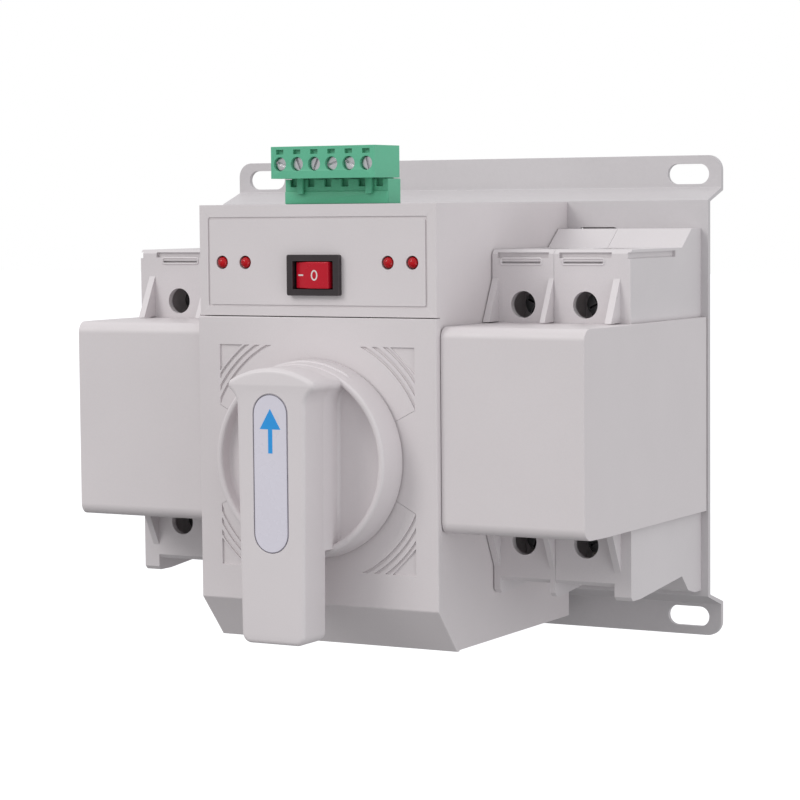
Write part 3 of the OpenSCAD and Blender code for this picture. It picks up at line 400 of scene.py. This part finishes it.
bend_radius, cut_radius, bend_most = 1.3, 0.22, 80
plate_span = (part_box("base_plate")[1].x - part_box("base_plate")[0].x) / MM
stoved = finish("stoved_paint", (0.615, 0.588, 0.602), cycles=900.0, cloud=0.02, speckle=0.012,
                rough=(0.42, 0.52), bump=0.02 * MM, worn=(0.74, 0.74, 0.75), wear_amount=0.35)
softened_copy("base_plate", "base", stoved, [
    (bend_radius, lambda length, middle, fold: (length > 0.9 * plate_span) & (fold < bend_most)),
    (cut_radius, everywhere)])

# ---------------------------------------------------------------- screws, posts and pins
# Screws driven from behind hold the modules and the housing; turned posts carry the gear
# plates. All are steel, zinc plated bright or phosphated dark, with a faint turned grain.

bright_zinc = finish("bright_zinc", (0.66, 0.66, 0.68), cycles=1900.0, cloud=0.06, speckle=0.05,
                     rough=(0.22, 0.38), bump=0.008 * MM, worn=(0.85, 0.85, 0.86), wear_amount=0.5,
                     metallic=1.0)
dark_phosphate = finish("dark_phosphate", (0.13, 0.13, 0.135), cycles=2600.0, cloud=0.1,
                        speckle=0.12, rough=(0.34, 0.5), bump=0.012 * MM, worn=(0.5, 0.5, 0.52),
                        wear_amount=0.6, metallic=1.0)


def dressed(material, *nodes):
    """Gives frame nodes whose shape is right their material."""
    for node in nodes:
        frame["nodes"][node].data.materials.clear()
        frame["nodes"][node].data.materials.append(material)


screw_edge = 0.14
for screws, coat in (("breaker_screws", bright_zinc), ("housing_screws", bright_zinc),
                     ("post_screws", dark_phosphate), ("terminal_screws", dark_phosphate),
                     ("plug_screws", bright_zinc)):
    softened_copy(screws, body_of(frame["nodes"][screws])[0],
                  coat,
                  [(screw_edge, everywhere)], steps=2)
dressed(bright_zinc, "frame_posts", "motor_screws", "idler_pin", "arm_pivot_pins", "toggle_pins",
        "case_rivets", "left_tie_bar", "right_tie_bar", "main_shaft", "motor_pinion", "handle_screw",
        "front_gear_plate", "rear_gear_plate")
dressed(dark_phosphate, "pivot_clips", "shaft_clip", "gear_motor")

# ---------------------------------------------------------------- middle housing
# The box that hides the gear train is one moulding, with the control panel as its upper
# front. It is light warm grey plastic with a fine spark-eroded grain and soft corners.

warm_grey = (0.725, 0.680, 0.692)
moulded_grey = finish("moulded_grey", warm_grey, cycles=2400.0, cloud=0.012, speckle=0.012,
                      rough=(0.40, 0.50), bump=0.012 * MM, crease_shade_amount=0.08,
                      worn=(0.80, 0.79, 0.795), wear_amount=0.3, Specular_IOR_Level=0.42)
housing_edge, fine_edge, full_width = 0.9, 0.1, 68
housing_side, housing_tall = 30, 40
softened_copy("housing", "base", moulded_grey, [
    (housing_edge, lambda length, middle, fold: (length > full_width)
     | (length > housing_tall) & (abs(middle[:, 0]) > housing_side)),
    (fine_edge, everywhere)])

# ---------------------------------------------------------------- front cover
# The lower front snaps over the housing, a sheet moulding with a slanted foot. Rings of
# narrow grooves about the handle decorate its corners; its edges are well rounded.

front_edge, front_side, front_least = 0.7, 33, 12
softened_copy("front_cover", "base", moulded_grey, [
    (front_edge, lambda length, middle, fold: (length > front_least)
     & ((abs(middle[:, 0]) > front_side) | (length > full_width))),
    (fine_edge, everywhere)])

# ---------------------------------------------------------------- switching modules
# Each module is two moulded shells riveted over a partition, two poles wide. The shells
# are a thermoset, slightly glossier than the housing, with ribs between the terminals.

thermoset = finish("pale_thermoset", (0.705, 0.668, 0.682), cycles=3000.0, cloud=0.02, speckle=0.02,
                   rough=(0.32, 0.44), bump=0.01 * MM, worn=(0.80, 0.79, 0.80), wear_amount=0.3)
nose_corner, case_edge, rib_edge = 1.3, 0.4, 0.15
nose_side, nose_d, nose_least, case_least = 73.5, 50, 18, 6
for case in ("left_inner_case", "left_outer_case", "right_inner_case", "right_outer_case"):
    softened_copy(case, "base", thermoset, [
        (nose_corner, lambda length, middle, fold: (length > nose_least)
         & (abs(middle[:, 0]) > nose_side) & (middle[:, 1] < -nose_d)),
        (case_edge, lambda length, middle, fold: length > case_least),
        (rib_edge, everywhere)])
dressed(thermoset, "pole_partitions")

# ---------------------------------------------------------------- side covers
# Hoods that close the toggles of each module: front, outer side, roof and floor in one
# moulding of the same grey as the housing, with wide soft edges, pushed on from the front.

hood_corner, hood_edge, hood_fine = 1.1, 0.5, 0.2
hood_side, hood_least, hood_fold = 74, 10, 60
for hood in ("left_cover", "right_cover"):
    softened_copy(hood, "base", moulded_grey, [
        (hood_corner, lambda length, middle, fold: (abs(middle[:, 0]) > hood_side) & (fold > hood_fold)),
        (hood_edge, lambda length, middle, fold: (length > hood_least) & (fold > hood_fold)),
        (hood_fine, lambda length, middle, fold: fold > hood_fold)])

# ---------------------------------------------------------------- handle
# A moulded knob: a dished disc with a rolled rim, and across it a deep lever whose tail
# hangs clear of the disc. Satin grey plastic, pressed on the shaft and held by one screw.


def at(x, d, z):
    """Points in metres from x, the distance d from the wall and the height z, all in mm."""
    x, d, z = np.broadcast_arrays(x, d, z)
    return np.stack([x, -d, z], -1) * MM


def rounded(corners, radii, steps=8):
    """A closed outline whose corners are arcs: each arc's centre lies on the corner's bisector at
    radius over the sine of half the corner angle, and the arc runs between the two tangent points."""
    corners = np.array(corners, float)
    before, after = np.roll(corners, 1, 0) - corners, np.roll(corners, -1, 0) - corners
    before /= np.linalg.norm(before, axis=1, keepdims=True)
    after /= np.linalg.norm(after, axis=1, keepdims=True)
    half = np.arccos(np.clip((before * after).sum(1), -1, 1)) / 2
    bisector = before + after
    bisector /= np.linalg.norm(bisector, axis=1, keepdims=True)
    radii = np.broadcast_to(np.array(radii, float), half.shape)
    centres = corners + bisector * (radii / np.sin(half))[:, None]
    share = np.linspace(-1, 1, steps)[None, :, None] * (np.pi / 2 - half)[:, None, None]
    across = after - before
    across /= np.linalg.norm(across, axis=1, keepdims=True)
    arcs = np.cos(share) * -bisector[:, None] + np.sin(share) * across[:, None]
    return (centres[:, None] + radii[:, None, None] * arcs).reshape(-1, 2)


def inset(outline, amount):
    """A closed outline moved inwards: every point goes along the mean of its two side normals,
    lengthened by one over the cosine of half the turn, so that straight sides stay parallel."""
    sides = np.roll(outline, -1, 0) - outline
    sides /= np.linalg.norm(sides, axis=1, keepdims=True) + 1e-12
    normals = np.stack([-sides[:, 1], sides[:, 0]], 1)
    mean = normals + np.roll(normals, 1, 0)
    mean /= np.linalg.norm(mean, axis=1, keepdims=True)
    lengthened = np.clip((mean * normals).sum(1, keepdims=True), 0.5, 1)
    return outline + mean / lengthened * amount


def stacked(outline, profile, place):
    """Rings of one outline: for each (inset, level) of the profile, the inset outline at that level."""
    return np.stack([place(*inset(outline, amount).T, level) for amount, level in profile])


def from_wall(x, z, d):
    """Places an outline drawn in the model's x and z at the distance d from the wall."""
    return at(x, d, z)


def edge_arc(radius, level, outward, steps=5):
    """(inset, level) pairs of a quarter round that ends at a level: the inset is the radius times
    one less the cosine, the level falls short by the radius times one less the sine; outward is
    +1 for the front of a part and -1 for its back."""
    angles = np.linspace(0, np.pi / 2, steps)
    pairs = np.stack([radius * (1 - np.cos(angles)), level - outward * radius * (1 - np.sin(angles))], 1)
    return pairs.tolist() if outward > 0 else pairs[::-1].tolist()


def tube(rings, capped=True):
    """Vertices and faces of rings joined in order by quads, with the two ends closed by one face each."""
    rows, count = rings.shape[:2]
    i, j = np.meshgrid(np.arange(rows - 1), np.arange(count), indexing="ij")
    k = (j + 1) % count
    quads = np.stack([i * count + j, i * count + k, (i + 1) * count + k, (i + 1) * count + j], -1)
    faces = quads.reshape(-1, 4).tolist()
    if capped:
        faces += [list(range(count))[::-1], list(range((rows - 1) * count, rows * count))]
    return rings.reshape(-1, 3), faces


def made_piece(name, parts, body, material, replaces=(), sharp=38):
    """One object of several closed parts, with normals turned outwards and folds over sharp kept crisp."""
    starts = np.cumsum([0] + [len(points) for points, _ in parts])
    faces = [[int(start) + v for v in face] for start, (_, part) in zip(starts, parts) for face in part]
    mesh = bpy.data.meshes.new(name)
    mesh.from_pydata(np.concatenate([points for points, _ in parts]).tolist(), [], faces)
    work = bmesh.new()
    work.from_mesh(mesh)
    bmesh.ops.remove_doubles(work, verts=work.verts, dist=weld_gap / 2)
    bmesh.ops.recalc_face_normals(work, faces=work.faces)
    work.to_mesh(mesh)
    work.free()
    mesh.shade_smooth()
    mesh.set_sharp_from_angle(angle=radians(sharp))
    mesh.materials.append(material)
    piece = bpy.data.objects.new(name, mesh)
    bpy.context.collection.objects.link(piece)
    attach(piece, body)
    if replaces:
        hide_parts(*replaces)


def revolved(profile, x, z, count=96):
    """A closed turned part about a front-to-back axis: the profile of [radius, distance] swept round."""
    angles = np.linspace(0, 2 * np.pi, count, endpoint=False)
    r, d = np.array(profile, float).T[:, :, None]
    return tube(at(x + r * np.cos(angles), d, z + r * np.sin(angles)))


shaft_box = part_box("main_shaft")
shaft_x = (shaft_box[0].x + shaft_box[1].x) / 2 / MM
shaft_z = (shaft_box[0].z + shaft_box[1].z) / 2 / MM
knob_low, knob_high = (np.array(c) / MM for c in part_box("handle"))
knob_back, lever_front = -knob_high[1], -knob_low[1]
knob_r = knob_high[0] - shaft_x
tail_end = knob_low[2] - shaft_z
rim_front, dish = knob_back + 8.4, knob_back + 5.2
lever_half, tail_half, neck = 9.9, 9.2, 14.8
crown_r, shoulder_r, lever_edge = 24.3, 4.9, 1.2
tail_gap = lever_front - 10.9
satin_grey = finish("satin_grey", (0.735, 0.690, 0.704), cycles=2600.0, cloud=0.012, speckle=0.012,
                    rough=(0.34, 0.44), bump=0.009 * MM, worn=(0.80, 0.79, 0.79), wear_amount=0.3,
                    Specular_IOR_Level=0.45)

rim_round, foot_round, dish_draft, back_round, axis_r = 0.75, 0.9, 0.25, 0.5, 0.01
quarter = np.linspace(0, np.pi / 2, 8)
rising, falling = 1 - np.sin(quarter), 1 - np.cos(quarter)
lip_out, lip_in = knob_r - 0.9, knob_r - 2.7
outer_roll = np.stack([lip_out - rim_round * falling, rim_front - rim_round * rising], 1)
inner_roll = np.stack([lip_in + rim_round * rising, rim_front - rim_round * falling], 1)
dish_foot = np.stack([lip_in - dish_draft - foot_round * falling, dish + foot_round * rising], 1)
disc = revolved([[axis_r, knob_back], [knob_r - back_round, knob_back], [knob_r - 0.12, knob_back + 0.15],
                 [knob_r, knob_back + back_round], *outer_roll.tolist(), *inner_roll.tolist(),
                 *dish_foot.tolist(), [axis_r, dish]], shaft_x, shaft_z)

shoulder_end, flare_turn, flare_r = radians(130), radians(74), 1.5
sweep = np.linspace(np.pi, shoulder_end, 9)
shoulder = np.stack([lever_half + shoulder_r * (1 + np.cos(sweep)), neck + shoulder_r * np.sin(sweep)], 1)
along = np.array([sin(shoulder_end), -cos(shoulder_end)])
lead = shoulder[-1] @ along
flare_tip = shoulder[-1] + along * (np.sqrt(lead ** 2 + crown_r ** 2 - shoulder[-1] @ shoulder[-1]) - lead)
crown_start = np.arctan2(flare_tip[1], flare_tip[0])
reach = flare_r / np.tan(flare_turn / 2)
crown_sweep = np.linspace(crown_start + reach / crown_r, np.pi - crown_start - reach / crown_r, 33)
crown = np.stack([crown_r * np.cos(crown_sweep), crown_r * np.sin(crown_sweep)], 1)
flare_steps = 7
flare = rounded([flare_tip - along * reach, flare_tip, crown[0]], [0, flare_r, 0], flare_steps)
flare = flare[flare_steps:2 * flare_steps]
tail_r = 2.6
tail_sweep = np.radians(np.linspace(-90, 0, 8))
tail_corner = np.stack([tail_half - tail_r + tail_r * np.cos(tail_sweep),
                        tail_end + tail_r + tail_r * np.sin(tail_sweep)], 1)


def side_line(heights):
    """Points on the lever's straight side: its half width grows evenly from the tail to the neck."""
    heights = np.array(heights, float)
    share = (heights - tail_corner[-1, 1]) / (neck - tail_corner[-1, 1])
    return np.stack([tail_half + (lever_half - tail_half) * share, heights], 1)


head = np.concatenate([shoulder, flare[:-1], crown, (flare[::-1] * (-1, 1))[1:], shoulder[::-1] * (-1, 1)])
right_side = np.concatenate([tail_corner, side_line([-30, -15, 0])])
lever = np.concatenate([right_side, head, right_side[::-1] * (-1, 1)])


def on_shaft(x, z, d):
    """Places an outline drawn about the shaft at the distance d from the wall."""
    return at(shaft_x + x, d, shaft_z + z)


label_long, label_wide, label_mid, recess = 39.6, 9.8, -2.0, 0.4
half_turn = np.linspace(0, np.pi, 17)
bow = np.stack([np.cos(half_turn), np.sin(half_turn)], 1) * label_wide / 2
straight = (label_long - label_wide) / 2
stadium = np.concatenate([bow + (0, straight), -bow - (0, straight)]) + (0, label_mid)
bed_play, bed_round, bed_foot, lever_back = 0.15, 0.12, 0.1, 0.9
bed = inset(stadium, -bed_play)
lever_rings = edge_arc(lever_back, tail_gap, -1) + edge_arc(lever_edge, lever_front, 1)
body_points, body_faces = tube(stacked(lever, lever_rings, on_shaft), capped=False)
bed_floor = lever_front - recess
bed_rings = [(bed_round, bed_floor), (0, bed_floor + bed_foot),
             (0, lever_front - bed_round), (-bed_round, lever_front)]
bed_points, bed_faces = tube(stacked(bed, bed_rings, on_shaft), capped=False)
count, bed_count = len(lever), len(bed)
last_ring = inset(lever, lever_edge)
open_ring = inset(bed, -bed_round)
flat = tessellate_polygon([[Vector((*p, 0)) for p in last_ring], [Vector((*p, 0)) for p in open_ring]])
front_index = np.concatenate([np.arange(count) + len(body_points) - count,
                              np.arange(bed_count) + len(body_points) + len(bed_points) - bed_count])
lever_faces = body_faces + [list(range(count))[::-1]]
lever_faces += [[v + len(body_points) for v in face] for face in bed_faces]
lever_faces += [list(range(len(body_points), len(body_points) + bed_count))]
lever_faces += [front_index[list(face)].tolist() for face in flat]
lever_part = (np.concatenate([body_points, bed_points]), lever_faces)

root_low, root_round, root_sunk = -21.8, 1.0, 0.05
root_side = side_line([root_low, -15, 0])
root = np.concatenate([root_side, head, root_side[::-1] * (-1, 1)])
root_profile = np.stack([-root_round * rising, dish - root_sunk + root_round * falling], 1).tolist()
root_profile += [(-0.03, tail_gap + 1.3), (0.06, tail_gap + 2.0)]
root_part = tube(stacked(root, root_profile, on_shaft))
made_piece("handle_knob", [disc, lever_part, root_part], "handle_shaft",
           satin_grey, ["handle"])

# ---------------------------------------------------------------- lips on the module shells
# Each shell has a short label groove in its front face, near the top. The moulding stands
# up round it in a soft raised lip of the same plastic.

partition_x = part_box("right_inner_case")[1].x / MM
pole_pitch, groove_offset, groove_z = 17.5, -0.5, 37.6
groove_half, groove_tall, groove_corner = 5.5, 0.5, 0.2
nose_front, lip_sunk = 56.8, 0.1
lip_height, lip_wide = 0.28, 0.55
groove = rounded([[-groove_half, -groove_tall], [groove_half, -groove_tall],
                  [groove_half, groove_tall], [-groove_half, groove_tall]], groove_corner, 4)
crest = np.linspace(0, np.pi, 7)
lip_profile = np.stack([-lip_wide / 2 * (1 - np.cos(crest)), nose_front + lip_height * np.sin(crest)], 1)
lip_profile = [(0, nose_front - lip_sunk), *lip_profile.tolist(), (-lip_wide, nose_front - lip_sunk)]
for side, mirror in (("right", 1), ("left", -1)):
    for shell, pole in (("inner", -1), ("outer", 1)):
        centre = mirror * (partition_x + pole * pole_pitch / 2 + groove_offset)
        rings = stacked(groove + (centre, groove_z), lip_profile, from_wall)
        made_piece(side + "_" + shell + "_lip", [tube(np.concatenate([rings, rings[:1]]), False)],
                   "base", thermoset, sharp=60)

# ---------------------------------------------------------------- handle label
# A printed polyester label lies in the lever's shallow bed: pale lilac film with a fine
# dark outline and a blue arrow that points along the lever. It is glued on.

film = finish("label_film", (0.74, 0.715, 0.80), cycles=700.0, cloud=0.015, speckle=0.01,
              rough=(0.24, 0.32), bump=0.003 * MM, crease_shade_amount=0.15, Coat_Weight=0.25)
line_ink = finish("line_ink", (0.16, 0.15, 0.19), cycles=900.0, cloud=0.05, speckle=0.05,
                  rough=(0.3, 0.4), bump=0.002 * MM, crease_shade_amount=0.0)
blue_ink = finish("blue_ink", (0.022, 0.33, 0.80), cycles=900.0, cloud=0.03, speckle=0.03,
                  rough=(0.28, 0.38), bump=0.002 * MM, crease_shade_amount=0.0)
film_top, film_round, glue_gap = lever_front - 0.06, 0.05, 0.02
ink_low, ink_high = film_top - 0.03, film_top + 0.02
line_near, line_far = 0.02, 0.19
film_rings = [(0, bed_floor + glue_gap), (0, film_top - film_round), (film_round, film_top)]
made_piece("label_film", [tube(stacked(stadium, film_rings, on_shaft))], "handle_shaft",
           film, ["handle_label"])
outline_ring = stacked(stadium, [(line_near, ink_low), (line_near, ink_high),
                                 (line_far, ink_high), (line_far, ink_low)], on_shaft)
made_piece("label_outline", [tube(np.concatenate([outline_ring, outline_ring[:1]]), capped=False)],
           "handle_shaft", line_ink)
tip_z, wing_z, stem_z, wing_x, stem_x = 14.2, 9.1, 3.1, 3.0, 0.62
arrow = np.array([[wing_x, wing_z], [stem_x, wing_z], [stem_x, stem_z],
                  [-stem_x, stem_z], [-stem_x, wing_z], [-wing_x, wing_z], [0, tip_z]])
arrow_part = tube(stacked(arrow, [(0, ink_low), (0, ink_high)], on_shaft))
made_piece("label_arrow", [arrow_part], "handle_shaft", blue_ink, sharp=20)

# ---------------------------------------------------------------- indicator lamps
# Four red 3 mm lamps on the board behind the panel, each a cast resin dome over a small cup whose bright
# orange is a painted highlight for the glint of the chip; the domes just show through their holes.

# Painted shade: a strong crease shade darkens each dome where it sits down in its hole
resin = finish("lamp_resin", (0.66, 0.004, 0.012), cycles=1200.0, cloud=0.05, speckle=0.02,
               rough=(0.10, 0.16), bump=0.001 * MM, crease_shade_amount=0.6, Transmission_Weight=0.35,
               IOR=1.4)
# Painted highlight: the cup's bright orange stands for the glint off the chip inside the resin, not the
# cup's own colour
cup_highlight = finish("lamp_cup_painted_glint", (0.95, 0.22, 0.10), cycles=1200.0, cloud=0.05, speckle=0.02,
             rough=(0.25, 0.35), bump=0.001 * MM, crease_shade_amount=0.0)
lamps_low, lamps_high = (np.array(c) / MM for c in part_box("indicator_leds"))
lamp_z = (lamps_low[2] + lamps_high[2]) / 2
lamp_tip, lamp_r, lamp_gap = -lamps_low[1], 1.5, 7.0
flange_r, flange_back, flange_front = 1.9, lamp_tip - 6.8, lamp_tip - 5.8
lamp_outer = lamps_high[0] - flange_r
dome = np.linspace(0, np.pi / 2, 9)[:-1]
dome_rings = np.stack([lamp_r * np.cos(dome), lamp_tip - lamp_r + lamp_r * np.sin(dome)], 1).tolist()
lamp_profile = [[axis_r, flange_back], [flange_r, flange_back], [flange_r, flange_front],
                [lamp_r, flange_front + 0.1], *dome_rings, [axis_r, lamp_tip]]
lamp_places = [side * (lamp_outer - step * lamp_gap) for side in (-1, 1) for step in (0, 1)]
made_piece("lamp_domes", [revolved(lamp_profile, x, lamp_z, 40) for x in lamp_places],
           "base", resin, ["indicator_leds"])
stalk_r, brim_r = 0.5, 0.75
cup_profile = [[axis_r, lamp_tip - 4], [stalk_r, lamp_tip - 4], [brim_r, lamp_tip - 1.6],
               [brim_r - 0.2, lamp_tip - 1.3], [axis_r, lamp_tip - 1.2]]
made_piece("lamp_cups", [revolved(cup_profile, x, lamp_z, 24) for x in lamp_places],
           "base", cup_highlight)

# ---------------------------------------------------------------- rocker switch
# A snap-in switch: black moulded frame, and a glossy red key that rocks on two pins. Its
# left end is pressed in; a white bar and ring, the usual on and off signs, are inlaid.

black = finish("black_nylon", (0.030, 0.022, 0.025), cycles=1600.0, cloud=0.08, speckle=0.08,
               rough=(0.30, 0.42), bump=0.008 * MM, worn=(0.16, 0.14, 0.15), wear_amount=0.35,
               crease_shade_amount=0.1)
red = finish("glossy_red", (0.54, 0.006, 0.022), cycles=1100.0, cloud=0.03, speckle=0.015,
             rough=(0.24, 0.32), bump=0.002 * MM, worn=(0.85, 0.16, 0.15), wear_amount=0.25,
             Specular_IOR_Level=0.3)
mark_white = finish("mark_white", (0.78, 0.74, 0.72), cycles=900.0, cloud=0.03, speckle=0.03,
                    rough=(0.3, 0.4), bump=0.002 * MM, crease_shade_amount=0.1)
bezel_edge, bezel_fine, bezel_least, bezel_d = 0.45, 0.12, 8, 87.5
key_edge, key_fine, key_least = 0.3, 0.1, 3
softened_copy("rocker_body", "base", black, [
    (bezel_edge, lambda length, middle, fold: (length > bezel_least) & (middle[:, 1] < -bezel_d)),
    (bezel_fine, everywhere)])
softened_copy("rocker_key", "rocker", red, [
    (key_edge, lambda length, middle, fold: length > key_least), (key_fine, everywhere)], steps=4)

key_low, key_high = (np.array(c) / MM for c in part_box("rocker_key"))
key_turn, key_ridge, key_slope, key_sunk = radians(10), 3.1, 0.17, 2.5
pivot_d = -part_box("rocker_body")[0].y / MM - key_sunk


def on_key(x, z, lift):
    """A spot on the key's face, turned about its pins by key_turn. The face is a low ridge: its
    distance from the pins falls by key_slope for each mm away from the middle."""
    depth = -key_ridge + key_slope * abs(x) - lift
    return at(x * cos(key_turn) + depth * sin(key_turn),
              pivot_d + x * sin(key_turn) - depth * cos(key_turn),
              (key_low[2] + key_high[2]) / 2 + z)


angles = np.linspace(0, 2 * np.pi, 40, endpoint=False)
oval = np.stack([np.cos(angles), np.sin(angles)], 1)
ring_mid, ring_out, ring_in = (1.35, 0), (0.95, 1.35), (0.58, 0.98)
bar_mid, bar_x, bar_z = (-3.4, 0), 0.95, 0.2
under, proud = -0.05, 0.03
ring = np.stack([on_key(*(oval * size + ring_mid).T, lift) for size, lift in (
    (ring_out, under), (ring_out, proud), (ring_in, proud), (ring_in, under))])
stroke = rounded([[-bar_x, -bar_z], [bar_x, -bar_z], [bar_x, bar_z], [-bar_x, bar_z]], bar_z / 2, 4)
made_piece("rocker_signs", [tube(np.concatenate([ring, ring[:1]]), capped=False),
                            tube(stacked(stroke + bar_mid, [(0, under), (0, proud)], on_key))],
           "rocker", mark_white)

# ---------------------------------------------------------------- terminal block
# A plug-in terminal: the fixed half sits over the board's pins on the roof, the loose
# half carries six screw clamps. Both are moulded in green polyamide with a satin skin.

green = finish("terminal_green", (0.125, 0.50, 0.31), cycles=2200.0, cloud=0.03, speckle=0.03,
               rough=(0.34, 0.46), bump=0.008 * MM, worn=(0.25, 0.58, 0.42), wear_amount=0.3,
               Specular_IOR_Level=0.4)
block_edge, block_fine, block_least = 0.28, 0.1, 5
for half, body in (("terminal_header", "base"), ("terminal_plug", "plug")):
    softened_copy(half, body, green, [
        (block_edge, lambda length, middle, fold: length > block_least), (block_fine, everywhere)])
header_low, header_high = (np.array(c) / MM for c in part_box("terminal_header"))
sill_top, sill_out, sill_sunk = header_low[2] + 3.3, 0.3, 0.6
header_face, bar_round = -header_low[1], 0.15


def bar(x, d, z):
    """A bar between two corners given as limits in x, distance and height, with rounded edges."""
    outline = rounded([[x[0], z[0]], [x[1], z[0]], [x[1], z[1]], [x[0], z[1]]], bar_round, 4)
    rings = edge_arc(bar_round, d[0], -1, 4) + edge_arc(bar_round, d[1], 1, 4)
    return tube(stacked(outline, rings, from_wall))


sill_front, margin = header_face + sill_out, 0.1
made_piece("header_sill", [bar((header_low[0] + margin, header_high[0] - margin),
                               (header_face - sill_sunk, sill_front),
                               (header_low[2] + margin, sill_top))], "base", green)
terminal_pitch, tab_half = 5.08, 0.85
tab_back, tab_front = sill_front + 0.08, sill_front + 1.1
tab_low, tab_high = sill_top - 0.7, header_high[2] + 1.0
made_piece("plug_tabs", [bar((side * 2 * terminal_pitch - tab_half, side * 2 * terminal_pitch + tab_half),
                             (tab_back, tab_front), (tab_low, tab_high)) for side in (-1, 1)],
           "plug", green)
tinned = finish("tinned_brass", (0.70, 0.66, 0.56), cycles=1800.0, cloud=0.06, speckle=0.05,
                rough=(0.26, 0.4), bump=0.006 * MM, metallic=1.0, worn=(0.85, 0.78, 0.6),
                wear_amount=0.3)
dressed(tinned, "header_pins", "plug_clamps", "left_terminal_clamps", "right_terminal_clamps")

# ---------------------------------------------------------------- gear train and contacts
# Behind the covers: natural nylon gears and arms, sintered bronze bushes and pinion, copper
# contact levers, black toggles and sensors, and two green boards with a pair of relays.

nylon = finish("natural_nylon", (0.76, 0.73, 0.63), cycles=1500.0, cloud=0.04, speckle=0.02,
               rough=(0.36, 0.48), bump=0.008 * MM, Subsurface_Weight=0.12, worn=(0.85, 0.83, 0.76),
               wear_amount=0.2)
sintered = finish("sintered_bronze", (0.50, 0.33, 0.15), cycles=3500.0, cloud=0.08, speckle=0.14,
                  rough=(0.34, 0.52), bump=0.02 * MM, metallic=1.0, worn=(0.72, 0.52, 0.28),
                  wear_amount=0.4)
copper = finish("bare_copper", (0.72, 0.36, 0.22), cycles=1400.0, cloud=0.10, speckle=0.05,
                rough=(0.24, 0.42), bump=0.006 * MM, metallic=1.0, worn=(0.9, 0.55, 0.4),
                wear_amount=0.3)
board = finish("solder_mask", (0.015, 0.13, 0.05), cycles=650.0, cloud=0.10, speckle=0.08,
               rough=(0.22, 0.34), bump=0.006 * MM, Coat_Weight=0.3)
relay = finish("relay_case", (0.03, 0.13, 0.42), cycles=1800.0, cloud=0.03, speckle=0.02,
               rough=(0.24, 0.34), bump=0.004 * MM)
dressed(nylon, "main_gear", "idler_gear", "left_drive_arm", "right_drive_arm")
dressed(sintered, "shaft_bush", "plate_bushes", "drive_pinion")
dressed(copper, "left_contact_arms", "right_contact_arms", "fixed_contacts")
dressed(black, "left_toggles", "right_toggles", "position_sensors", "flag_disc")
dressed(board, "control_board", "indicator_board")
dressed(relay, "board_relays")

# ---------------------------------------------------------------- last update
# The view layer is brought up to date.

bpy.context.view_layer.update()
